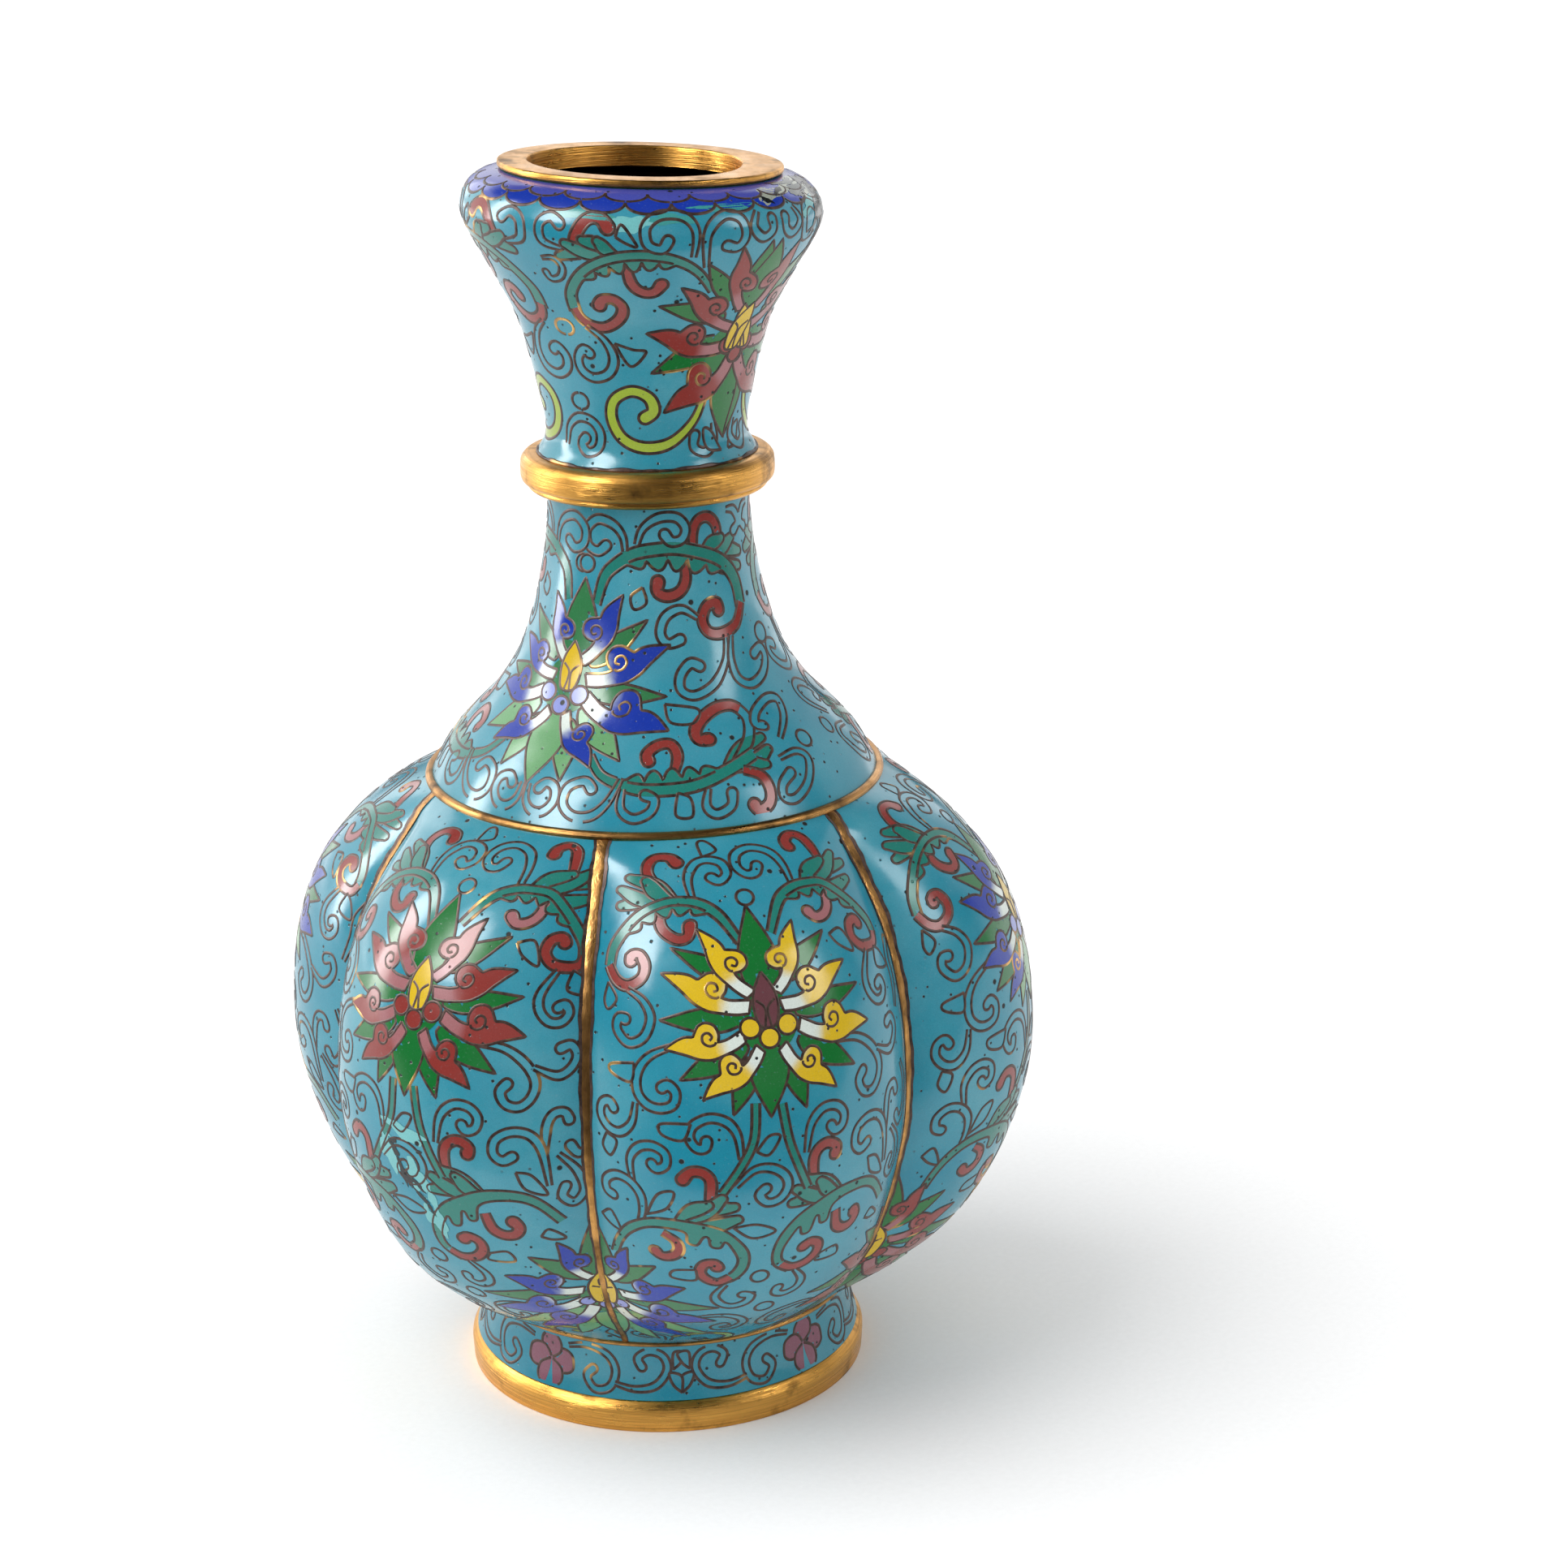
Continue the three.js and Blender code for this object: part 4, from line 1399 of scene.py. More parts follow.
# ---------- wire
class WireTree:
    """Geometry Nodes that sweep a flat-topped wire along the edges of a flat drawing."""

    def __init__(self, material: Material, half_width: float = 0.245, half_height: float = 0.055) -> None:
        """Builds the tree once, for every drawing."""
        self.material = material
        self.sizes = {"Half Width": half_width, "Half Height": half_height}
        self.tree = bpy.data.node_groups.new("wire_sweep", "GeometryNodeTree")
        self.sockets: dict[str, str] = {}
        self._build()

    def _build(self) -> None:
        """Adds the sockets and nodes."""
        face = self.tree.interface
        face.new_socket("Geometry", in_out="INPUT", socket_type="NodeSocketGeometry")
        for name, size in self.sizes.items():
            socket = face.new_socket(name, in_out="INPUT", socket_type="NodeSocketFloat")
            socket.default_value = size
            self.sockets[name] = socket.identifier
        socket = face.new_socket("Wire", in_out="INPUT", socket_type="NodeSocketMaterial")
        self.sockets["Wire"] = socket.identifier
        face.new_socket("Geometry", in_out="OUTPUT", socket_type="NodeSocketGeometry")
        given, made, curve, upright, circle, size, squash, sweep, realize, finish = (
            self.tree.nodes.new(kind) for kind in (
                "NodeGroupInput", "NodeGroupOutput", "GeometryNodeMeshToCurve",
                "GeometryNodeSetCurveNormal", "GeometryNodeCurvePrimitiveCircle",
                "ShaderNodeCombineXYZ", "GeometryNodeTransform", "GeometryNodeCurveToMesh",
                "GeometryNodeRealizeInstances", "GeometryNodeSetMaterial"))
        upright.mode = "Z_UP"
        circle.inputs["Resolution"].default_value = 6
        circle.inputs["Radius"].default_value = 1.0
        size.inputs["Z"].default_value = 1.0
        sweep.inputs["Fill Caps"].default_value = True
        for source, output, target, socket in (
                (given, "Geometry", curve, "Mesh"), (curve, "Curve", upright, "Curve"),
                (given, "Half Width", size, "X"), (given, "Half Height", size, "Y"),
                (circle, "Curve", squash, "Geometry"), (size, "Vector", squash, "Scale"),
                (upright, "Curve", sweep, "Curve"), (squash, "Geometry", sweep, "Profile Curve"),
                (sweep, "Mesh", realize, "Geometry"), (realize, "Geometry", finish, "Geometry"),
                (given, "Wire", finish, "Material"), (finish, "Geometry", made, "Geometry")):
            self.tree.links.new(source.outputs[output], target.inputs[socket])

    def sweep(self, lengths: Lengths, chart: Chart) -> tuple[Array, list[tuple[int, ...]]]:
        """Points and faces of the swept wires, still flat, in millimetres.

        Each wire is swept about its own plumb line, so that its width comes out even on the wall.
        """
        points, edges, middles = [], [], []
        count = 0
        for line, layer in lengths:
            x, m = line.mean(0)
            near = slid(line[:, 0] - chart.plumb(x, m, line[:, 1]), line[:, 1])
            points.append(np.column_stack([near, np.full(len(line), 0.02 + LAYER_LIFT * layer)]))
            middles.append(np.tile((x, m, 0.0), (len(line), 1)))
            edges += [(count + k, count + k + 1) for k in range(len(line) - 1)]
            count += len(line)
        mesh = bpy.data.meshes.new("drawing")
        mesh.from_pydata(np.vstack(points).tolist(), edges, [])
        middle = mesh.attributes.new("middle", "FLOAT_VECTOR", "POINT")
        middle.data.foreach_set("vector", np.vstack(middles).astype(np.float32).ravel())
        drawn = placed("drawing", mesh)
        modifier = drawn.modifiers.new("wires", "NODES")
        modifier.node_group = self.tree
        for name, size in self.sizes.items():
            modifier[self.sockets[name]] = size
        modifier[self.sockets["Wire"]] = self.material
        view = bpy.context.evaluated_depsgraph_get()
        swept = bpy.data.meshes.new_from_object(drawn.evaluated_get(view), depsgraph=view)
        drawn.modifiers.remove(modifier)
        flat, own = np.empty((2, len(swept.vertices) * 3))
        swept.vertices.foreach_get("co", flat)
        swept.attributes["middle"].data.foreach_get("vector", own)
        flat, own = flat.reshape(-1, 3), own.reshape(-1, 3)
        flat[:, 0] += chart.plumb(own[:, 0], own[:, 1], flat[:, 1])
        faces = [tuple(face.vertices) for face in swept.polygons]
        bpy.data.objects.remove(drawn)
        for spare in (mesh, swept):
            bpy.data.meshes.remove(spare)
        return flat, faces


@dataclass
class Decoration:
    """Wires and enamel cells for one band of the vase."""

    name: str
    slot: str
    tree: WireTree
    enamel: Material
    step: float = 1.1
    wires: list[tuple[Array, list]] = field(default_factory=list)
    cells: list[tuple[Array, list, Array]] = field(default_factory=list)

    def lay(self, drawing: Drawing, window: Window, charts: Sequence[Chart],
            reach: Sequence[float] = (1.0,)) -> None:
        """Lays one drawing on one or more charts.

        Args:
            drawing: The flat drawing.
            window: The part of it that is used.
            charts: The walls that it goes on.
            reach: How much each chart's drawing is stretched across.
        """
        wiring = drawing.wiring(window)
        flat, faces = self.tree.sweep(wiring, charts[0]) if wiring else (np.zeros((0, 3)), [])
        points, triangles, lifts, colours = drawing.cells(window, self.step)
        stretches = list(reach) * len(charts) if len(reach) == 1 else list(reach)
        for chart, stretch in zip(charts, stretches):
            if len(flat):
                self.wires.append((chart.place(flat[:, 0] * stretch, flat[:, 1], flat[:, 2]), faces))
            if len(points):
                self.cells.append((chart.place(points[:, 0] * stretch, points[:, 1], lifts),
                                   triangles, colours))

    def build(self) -> None:
        """Makes one piece of wire and one of enamel cells."""
        points, faces, _ = self._joined([(p, f, np.zeros((len(p), 3))) for p, f in self.wires])
        make_piece(f"{self.name}_wires", points, faces, self.tree.material, "gilt_brass", sharp=80)
        if self.cells:
            points, faces, colours = self._joined(self.cells)
            make_piece(f"{self.name}_cells", points, faces, self.enamel, self.slot, glaze=colours)

    @staticmethod
    def _joined(parts: Sequence[tuple[Array, list, Array]]) -> tuple[Array, list, Array]:
        """Several meshes as one."""
        faces, count = [], 0
        for points, own, _ in parts:
            faces += [[count + k for k in face] for face in own]
            count += len(points)
        return np.vstack([p for p, _, _ in parts]), faces, np.vstack([c for _, _, c in parts])


# ---------- the lobes' pattern
RED, TEAL, LIME = Glaze.RED, Glaze.TEAL, Glaze.LIME


def curl(*path: Point) -> Scroll:
    """A plain curl, with the ground showing in it."""
    return Scroll(path)


def red_curl(*path: Point, start: float = 0.7) -> Scroll:
    """A curl filled with red."""
    return Scroll(path, RED, 0.85, start)


def soot(middle: Point, wide: float, tall: float, turn: float) -> Blot:
    """A dark spot in front of everything else."""
    return Blot(middle, wide, tall, Glaze.SOOT, turn, 4)


LOBE_LEFT: tuple[Mark, ...] = (
    curl((-9, 97.4), (-8.8, 101.5), (-7, 104.5), (-4.9, 105.3), (-3, 104.4), (-2.7, 102.3), (-4.1, 101),
        (-5.2, 101.7)),
    Almond(((-5.4, 106), (-5.3, 109), (-4, 109.4), (-2.9, 107.2))),
    red_curl((-12.5, 97.4), (-14.6, 101.5), (-14.2, 104), (-12.5, 105.9), (-10.4, 106), (-9.6, 104.7)),
    Frond((-11.5, 97.2), ((-21.8, 95.4), (-20.8, 98.6), (-18.4, 101.4), (-15.6, 101.2)), 1.3),
    red_curl((-13.3, 96.6), (-14.9, 94.2), (-14.8, 92.3), (-13, 91), (-11.2, 91.5), (-10.5, 93.3)),
    Scroll(((-3.6, 90.5), (-5.8, 95), (-8.6, 97.1), (-12, 97.3), (-15, 96.3), (-18, 94.5), (-21, 91.8),
        (-24, 88.3), (-25.3, 85.2)), TEAL, 0.85, 0.6, False, 5),
    red_curl((-25.4, 85.4), (-24.4, 83.4), (-22.5, 82.9), (-20, 84.3), (-19, 86.3), (-19.6, 87.9),
        (-21, 87.6), (-21.2, 86.8), start=0.9),
    curl((-22.6, 82.4), (-20.2, 81), (-19.3, 78.5), (-20.8, 75.5), (-23.5, 74.3), (-25.3, 76),
        (-24.8, 77.7), (-23.6, 77.8)),
    Almond(((-26, 82.8), (-27.2, 80), (-26.6, 78.7), (-24.8, 80.6))),
    curl((-15.6, 74.9), (-19.8, 73), (-22.2, 70.3), (-22.6, 67.3), (-21.2, 65.4), (-19, 64.9),
        (-16.9, 65.7), (-16.4, 67.6), (-17.5, 68.7), (-18.5, 68.2)),
    Almond(((-22.8, 71.4), (-27, 70.5), (-27, 69.2), (-23.6, 68.4))),
    curl((-23, 65.3), (-23.8, 62), (-25.8, 60.1), (-28, 60.3), (-29.5, 62), (-29.2, 63.9), (-27.8, 64.6),
        (-27, 63.7)),
    Almond(((-28.5, 59.4), (-29.3, 57.2), (-27.8, 55.8), (-26.6, 58.4))),
    curl((-6.8, 57.2), (-7.3, 61), (-8.8, 63.2), (-11.4, 63.9), (-13.9, 62.7), (-14.6, 60.8),
        (-13.6, 59.1), (-12.3, 59.1), (-12, 60.2)),
    Almond(((-14.3, 62.9), (-19, 62.5), (-18.8, 60.8), (-15.6, 60.2))),
    curl((-23.8, 52.4), (-24.3, 56), (-22.8, 58.2), (-20.5, 58.8), (-18.5, 57.8), (-18.4, 55.9),
        (-19.8, 55.1), (-20.6, 55.8)),
    curl((-22.4, 44.2), (-21.9, 47), (-22.4, 50), (-24.3, 52.1), (-26.8, 52.7), (-28.7, 51.4),
        (-28.5, 49.5), (-27.3, 48.9)),
    Almond(((-21.2, 46.6), (-19.6, 50.6), (-17, 51.3), (-18, 48.2))),
    red_curl((-11.6, 47.8), (-11.3, 53), (-12.4, 54.9), (-14.4, 55.1), (-15.7, 53.7)),
    Frond((-16.5, 45.6), ((-6.2, 46.6), (-6.9, 49.2), (-9, 50.9), (-11.2, 49.6)), 1.3),
    Almond(((-7.5, 44.9), (-4, 45.3), (-0.9, 43.6), (-4.4, 42.6))),
    red_curl((-18.4, 43.4), (-16.2, 42), (-15.5, 40.2), (-16.3, 38.8), (-18, 38.4), (-19.2, 39.4)),
    Blade(((-26.9, 37.2), (-26.3, 40.5), (-24.5, 43.8), (-21, 45.8), (-17, 46.2), (-12.5, 45.7),
        (-9, 44.5), (-6.5, 42.3), (-4.7, 39.5), (-4.6, 36), (-6.3, 33.3), (-9, 32.3)), ((-8.6, 33.9),
        (-6.9, 35.4), (-6.2, 38), (-7.5, 40.9), (-8.6, 42.1), (-9.2, 40.9), (-10.6, 41.2), (-11.2, 43),
        (-12, 43), (-12.8, 41.4), (-14.3, 41.9), (-14.8, 43.8), (-17.5, 44.4), (-21, 44), (-23.6, 42.2),
        (-24.9, 40), (-25.5, 37.4)), TEAL),
    red_curl((-6.9, 34.2), (-8.6, 33), (-10.4, 33.7), (-11.7, 35.4), (-11.3, 37.2), (-9.8, 37.5),
        (-9.2, 36.6), start=0.9),
    Almond(((-12.4, 35.9), (-15.8, 35.4), (-15.9, 33.7), (-12.2, 33.4))),
    Almond(((-29.4, 44.5), (-27.6, 45.7), (-25.5, 42.3), (-27.5, 42.9))),
    curl((-7.4, 32.3), (-8.6, 29.3), (-7.3, 26.9), (-5.3, 26), (-3.4, 27), (-3, 28.8), (-4.2, 29.3)),
    curl((-10.5, 21.6), (-8.2, 22.5), (-5.4, 22.4), (-3, 20.7), (-2.1, 18.3), (-3.3, 15.9), (-5.3, 15.6),
        (-6.1, 17.1), (-5, 18.1)),
    Scroll(((-10.8, 8.6), (-9.4, 11.7), (-6.5, 13), (-3.5, 11.5), (-1.6, 8), (-1.4, 4.5), (-3, 2.8),
        (-4.6, 4.2)), LIME, 0.75, 0.5),
    curl((-10.5, 4.5), (-11.5, 8.4), (-14, 10.2), (-16.6, 8.6), (-16.2, 6.4), (-14.5, 6.6)),
    Ring((-6, 6.6), 1.1),
    Ring((-2.3, 33.8)),
    Ring((0, 24.6), 1.5),
    Ring((-1.1, 97.7), 1.35),
    Scroll(((-4.4, 66), (-4.8, 60.5), (-6.5, 56.5), (-9.6, 51.4)), TEAL, 0.6, 1.0, False),
    Almond(((-4.5, 58.3), (-2.6, 60.6), (-0.8, 60.4), (-2.6, 57.6))),
)

LOBE_RIGHT: tuple[Mark, ...] = (
    curl((7.2, 97.6), (6.6, 102.3), (5, 105.5), (2.2, 106.9), (-0.2, 105.9), (-0.9, 103.5), (0.2, 101.8),
        (1.7, 101.8), (2.4, 103.1)),
    red_curl((14.5, 99.5), (12.7, 104.8), (11.5, 107), (9.9, 108), (8.6, 107), (8.8, 105.4)),
    Frond((9, 97.6), ((20.3, 95.6), (20.2, 98.8), (17.6, 101.6), (14.4, 101.4)), 1.3),
    Scroll(((11.8, 97), (12.7, 95.3), (12.6, 93.4), (11.5, 92.3), (9.8, 92.2), (8.6, 93.4)), Glaze.ROSE,
        0.85, 0.7),
    Scroll(((1.4, 91.4), (4, 96.3), (7, 98), (10, 98), (12.8, 97.2), (16, 94.5), (19.5, 91), (22, 88),
        (22.9, 85.6)), TEAL, 0.85, 0.6, False, 5),
    red_curl((22.9, 86), (22.4, 84.6), (20.4, 84.6), (18, 85.4), (16.3, 87.3), (16.5, 89.2), (18, 89.5),
        (18.8, 88.6), start=0.9),
    Almond(((11.4, 89), (14, 89.2), (16, 85.2), (13, 86.9))),
    curl((19.4, 84.3), (17.7, 81), (18, 78.5), (19.8, 76.5), (21.8, 76.2), (22.8, 77.4), (22, 78.8),
        (20.9, 78.5)),
    Almond(((21.8, 84), (21.7, 81), (25.4, 79.9), (23.8, 82.6))),
    curl((8.6, 73.5), (13.5, 72.8), (17, 70.5), (18.9, 67.5), (18.5, 65), (16.7, 63.5), (14.6, 64),
        (13.7, 65.9), (14.7, 67.2)),
    curl((18.6, 69.6), (22.2, 68), (24.3, 68.9), (25.1, 70.8), (24, 72.5), (22.4, 72.2)),
    curl((26.8, 73), (27.4, 77), (26.6, 80.5), (27.6, 83)),
    curl((20.4, 55.6), (20.8, 60), (21.9, 62), (23.6, 62.1), (24.3, 60.8)),
    curl((26.8, 64.5), (28.6, 61), (28, 57), (25.8, 55), (24.4, 56.6)),
    curl((3.4, 57), (4.2, 61.3), (6.3, 63.5), (8.8, 63.4), (10.3, 61.8), (9.9, 60), (8.5, 59.5),
        (7.8, 60.4)),
    curl((20.4, 50), (20, 56), (18.3, 58.8), (15.5, 59.5), (13, 58.3), (12.5, 56), (13.8, 54.7),
        (15.4, 55.4)),
    red_curl((5, 51), (4.6, 55), (5.3, 57), (7, 57.8), (8.7, 56.9), (8.5, 55.7)),
    Frond((10.5, 47.8), ((0.6, 48.6), (1.2, 51.2), (3.4, 52.8), (5.6, 51.8)), 1.25),
    Blade(((21.6, 43.5), (18.5, 47.5), (15, 49.2), (10, 49.3), (6, 47.9), (2.5, 45.8), (0, 42.5),
        (-0.9, 39), (-0.3, 36), (2, 34)), ((2.4, 35.6), (0.8, 37.2), (0.7, 39.5), (1.9, 42.2), (3, 43.6),
        (3.5, 42), (4.8, 42.2), (5.6, 44.8), (6.2, 44.9), (6.6, 43.4), (7.8, 43.6), (8.6, 46.2),
        (11, 47.4), (15, 47.4), (17.8, 45.9), (20.1, 42.7)), TEAL),
    red_curl((0.8, 36), (2.6, 34.9), (5, 35.3), (6.7, 37), (6.8, 38.9), (5.4, 39.8), (4.2, 39.1),
        start=0.9),
    Scroll(((9.4, 45), (9.8, 42), (11.2, 40.7), (13, 40.8), (14, 42.2), (13.4, 43.4)), RED, 0.9, 0.8),
    curl((22.4, 55.4), (25, 52.2), (25.6, 48.6), (23.6, 46.4), (22, 47.8), (22.8, 49.6)),
    Almond(((7.7, 36.5), (10.6, 37), (11, 34.8), (7, 34.9))),
    Almond(((15.6, 52.7), (18, 52), (19.8, 48.4), (16.6, 49.6))),
    curl((3.4, 34), (5, 31.3), (4.6, 29), (2.6, 27.9), (1.1, 28.7), (1.2, 30)),
    curl((9.8, 21.6), (7.2, 22.6), (4.4, 22.2), (2, 20.8), (1, 18), (2, 15.9), (4, 15.9), (4.6, 17.5)),
    Almond(((16.8, 40.2), (18.4, 41.6), (20.5, 39.6), (18.4, 39.4))),
    Scroll(((2.6, 4.5), (3.2, 8.6), (5.8, 11.4), (8.6, 10.6), (9, 8.2), (7.2, 7.6)), LIME, 0.75, 0.5),
    curl((11.5, 2.5), (11.8, 6.4), (14, 8.4), (16.4, 6.8), (15.6, 4.8)),
    Scroll(((-0.4, 65.5), (0.5, 60), (1.8, 56), (3.8, 51)), TEAL, 0.6, 1.0, False),
    curl((-7.6, 52.6), (-5, 55.2), (-2.4, 55.4), (-0.2, 54), (0.5, 51.9), (-0.6, 49.8), (-2.6, 49.3),
        (-3.9, 50.8), (-3, 51.9)),
)

LOBE_LEAVES = (
    ((-4, 84), (-14.3, 89.6), 1.7), ((-5, 79), (-17.9, 78.4), 1.7), ((-5, 75), (-15.6, 69.6), 1.8),
    ((-4.4, 73), (-7.8, 64.3), 1.6), ((1, 84), (10.3, 90), 1.7), ((3, 79), (15.3, 80.5), 1.6),
    ((3, 75), (12.9, 68.8), 1.8), ((1, 73), (3.6, 64.2), 1.6), ((-1.5, 81), (-1.4, 96.3), 2.8),
    ((-1.9, 76), (-2.1, 63.6), 2.8))
LOBE_PETALS = (
    ((-3.8, 80.4), (-16.6, 85.5), 1), ((-5.2, 76.2), (-17.6, 74.1), 1),
    ((0.8, 80.2), (13.2, 84.6), -1), ((3.2, 77), (16.8, 74.4), -1),
    ((-3.4, 82.2), (-9.7, 92.9), 1), ((0.4, 82.2), (5.2, 92.8), -1),
    ((-2.9, 74.3), (-12.2, 66.8), 1), ((0.2, 74.3), (9, 66.3), -1))
LOBE_BERRIES = (((-4.3, 77.4), 1.5), ((-1.5, 75.7), 1.5), ((1.5, 77.4), 1.55))


def lobe_flower(bloom: Bloom) -> Flower:
    """The flower high on a lobe."""
    return Flower(bloom, LOBE_LEAVES, LOBE_PETALS, LOBE_BERRIES, (-1.5, 85.6, 80.5, 77.2, 1.9))


def groove_flower(bloom: Bloom) -> Flower:
    """The flower that spreads across a groove, low on the body."""
    leaves = [((2, 30), (11, 35.8), 1.6), ((3.5, 26), (19.5, 25.6), 1.6),
              ((3, 22), (16.5, 12.5), 1.9), ((1.6, 20), (6.5, 6), 2.0)]
    petals = [((3.2, 26.5), (15.2, 31.2), -1), ((3.4, 23.6), (18.2, 20.2), -1),
              ((1.8, 29.5), (6.4, 38.7), -1), ((2, 21.5), (12.2, 10.4), -1)]
    mirrored_leaves = [((-a, b), (-c, d), w) for (a, b), (c, d), w in leaves]
    mirrored_petals = [((-a, b), (-c, d), -hand) for (a, b), (c, d), hand in petals]
    top, foot = ((0, 28), (0, 43.4), 2.9), ((0, 22), (0, 5), 2.6)
    berries = (((-3.1, 23.2), 1.3), ((0, 21.4), 1.5), ((3.1, 23.2), 1.3))
    return Flower(bloom, (*leaves, *mirrored_leaves, top, foot), (*petals, *mirrored_petals),
                  berries, (0, 31.4, 26.6, 22.2, 2.6))


# ---------- the lower neck's pattern
LOWER_MARKS: tuple[Mark, ...] = (
    Scroll(((16.3, 43.6), (16.2, 46.4), (17, 48.2), (18.8, 48.5), (20.4, 46.9), (21, 43.8)), RED, 0.8,
        0.8),
    Frond((17.5, 42.6), ((26.4, 39.6), (26.6, 42), (24.4, 44.6), (21.8, 45)), 1.2),
    red_curl((14.6, 42.8), (15.3, 39.6), (14.6, 37.6), (12.7, 36.9), (11, 37.6), (10.9, 39.2)),
    Scroll(((1.4, 35.5), (2.4, 39.8), (4.4, 42), (7, 43.5), (10.5, 44.1), (14, 44), (19, 42.5),
        (22.5, 40.5), (25, 37.6), (26.3, 33.8)), TEAL, 1.1, 0.6, False, 5),
    red_curl((26.4, 34.2), (25.4, 31.2), (22.5, 30.2), (20, 30.8), (18.7, 32.8), (19.3, 34.8), (21, 35),
        (21.5, 33.9), start=0.9),
    curl((17.8, 33.2), (15, 34.8), (12.6, 33.8), (12.1, 31.3), (13.5, 29.6), (15.4, 30.1)),
    Almond(((8.6, 38.4), (6.9, 37), (7.6, 35), (9.4, 36))),
    curl((23.4, 29.4), (23.8, 26), (22.5, 22.7), (19.6, 21.2), (17.1, 22.2), (16.4, 24.5), (17.6, 26.3),
        (19.3, 25.7)),
    curl((24.4, 29.6), (24.9, 26), (26.8, 22.8), (29.8, 21.4), (32.4, 22.4), (33.2, 24.6), (31.8, 26.4),
        (30, 25.8)),
    curl((5.5, 43.9), (5.1, 46.2), (3.6, 48), (1, 48.7), (-1, 47), (-0.8, 44.6), (1, 43.7), (2.4, 44.7)),
    curl((7.3, 45), (8.2, 47.5), (10.6, 49.1), (13.4, 49), (14.9, 47.3), (14.4, 45.6), (12.7, 45.3),
        (11.6, 46.5)),
    curl((22.6, 49), (24.6, 48.6), (25.9, 46.6), (24.6, 45.4)),
    Ring((-1.7, 41.6), 1.35),
    red_curl((20.6, 7.2), (20.2, 11), (18.3, 13.4), (16.3, 13.4), (15.2, 12), (15.8, 10.7)),
    Frond((28.6, 8.2), ((31.2, 13), (34.2, 13), (36.4, 10.6), (36.8, 8)), 1.2),
    Scroll(((30.4, 9.4), (31.3, 12.8), (30, 16.2), (27, 18.6)), None, 0.85, 0.8, False),
    Scroll(((28, 18), (26, 18.9), (23.6, 18.8), (21.8, 17.4), (21.3, 15.5), (22.4, 13.9), (24.1, 13.8)),
        RED, 0.9, 0.9),
    Scroll(((6.4, 11.4), (9.6, 8), (15, 6.2), (20, 5.9), (25, 6.4), (29.4, 8.2), (33, 10.2)), TEAL, 1.1,
        0.6, False, 5),
    Almond(((15, 20.2), (20.6, 19), (20.6, 16.8), (16.8, 17.2))),
    curl((38, 11.6), (38.3, 15), (36.5, 17.8), (33.6, 18.5), (31.5, 17), (32, 15), (33.8, 14.4)),
    Ring((44, 10.3), 1.5),
    Scroll(((32, 7.8), (35.6, 6.4), (37.9, 3.9), (38.3, 1.9), (36.8, 1), (35.6, 2)), RED, 0.9, 0.8),
    curl((-2, 5.4), (-1.7, 2.8), (-0.2, 1.3), (1.8, 1.4), (3.2, 3.2), (2.8, 5.3), (1.2, 6), (0.1, 4.9)),
    curl((12.8, 7.6), (12, 4), (10, 1.6), (7, 1.3), (4.9, 3), (5, 5.7), (7.3, 6.9), (8.8, 5.7)),
    curl((13.6, 6), (14.2, 2.8), (16.5, 1.3), (18.8, 2.3), (19, 4.2), (17.4, 5)),
    Almond(((22.3, 5.2), (23, 1.7), (25.6, 1.4), (24.6, 4.2))),
    curl((27, 5.6), (27.5, 2.8), (29.5, 1.4), (31.6, 2.4), (31.2, 4.4)),
    curl((38.6, 8.4), (42, 8.8), (45.3, 7), (45.8, 3.6), (43.5, 1.6), (41, 2.2), (40.3, 4.2),
        (41.6, 5.7)),
)
LOWER_JOIN: tuple[Mark, ...] = (Ring((32.1, 28.5), 1.6),)
LOWER_LEAVES = (
    ((1.6, 26), (9.9, 33.4), 1.6), ((2, 22), (15, 21.4), 1.6), ((2, 19), (11.4, 10.6), 2.0),
    ((0.6, 17), (3.2, 6.4), 1.9), ((-5, 26), (-13, 33), 1.6), ((-6, 22), (-18, 22.6), 1.6),
    ((-6, 19), (-17, 12), 2.0), ((-4.6, 17), (-9, 7.2), 1.9), ((-1.3, 26), (-0.9, 39.4), 2.9),
    ((-1.9, 18), (-2.5, 5.2), 3.0))
LOWER_PETALS = (
    ((1.4, 23.4), (14, 29.4), -1), ((1.8, 20.8), (17, 15.8), -1),
    ((-4.4, 23.4), (-15.2, 28), 1), ((-6, 20.8), (-19, 19), 1),
    ((0, 26), (5.7, 37.2), -1), ((-3, 26), (-7, 36.3), 1),
    ((-0.6, 18), (7.2, 9.2), -1), ((-3.4, 18), (-13.4, 10.6), 1))


def lower_flower(bloom: Bloom) -> Flower:
    """The flower on the lower neck."""
    return Flower(bloom, LOWER_LEAVES, LOWER_PETALS,
                  (((-5, 20.8), 1.5), ((-1.9, 19), 1.5), ((1, 21), 1.5)),
                  (-1.6, 29.4, 24.8, 21.4, 1.9))


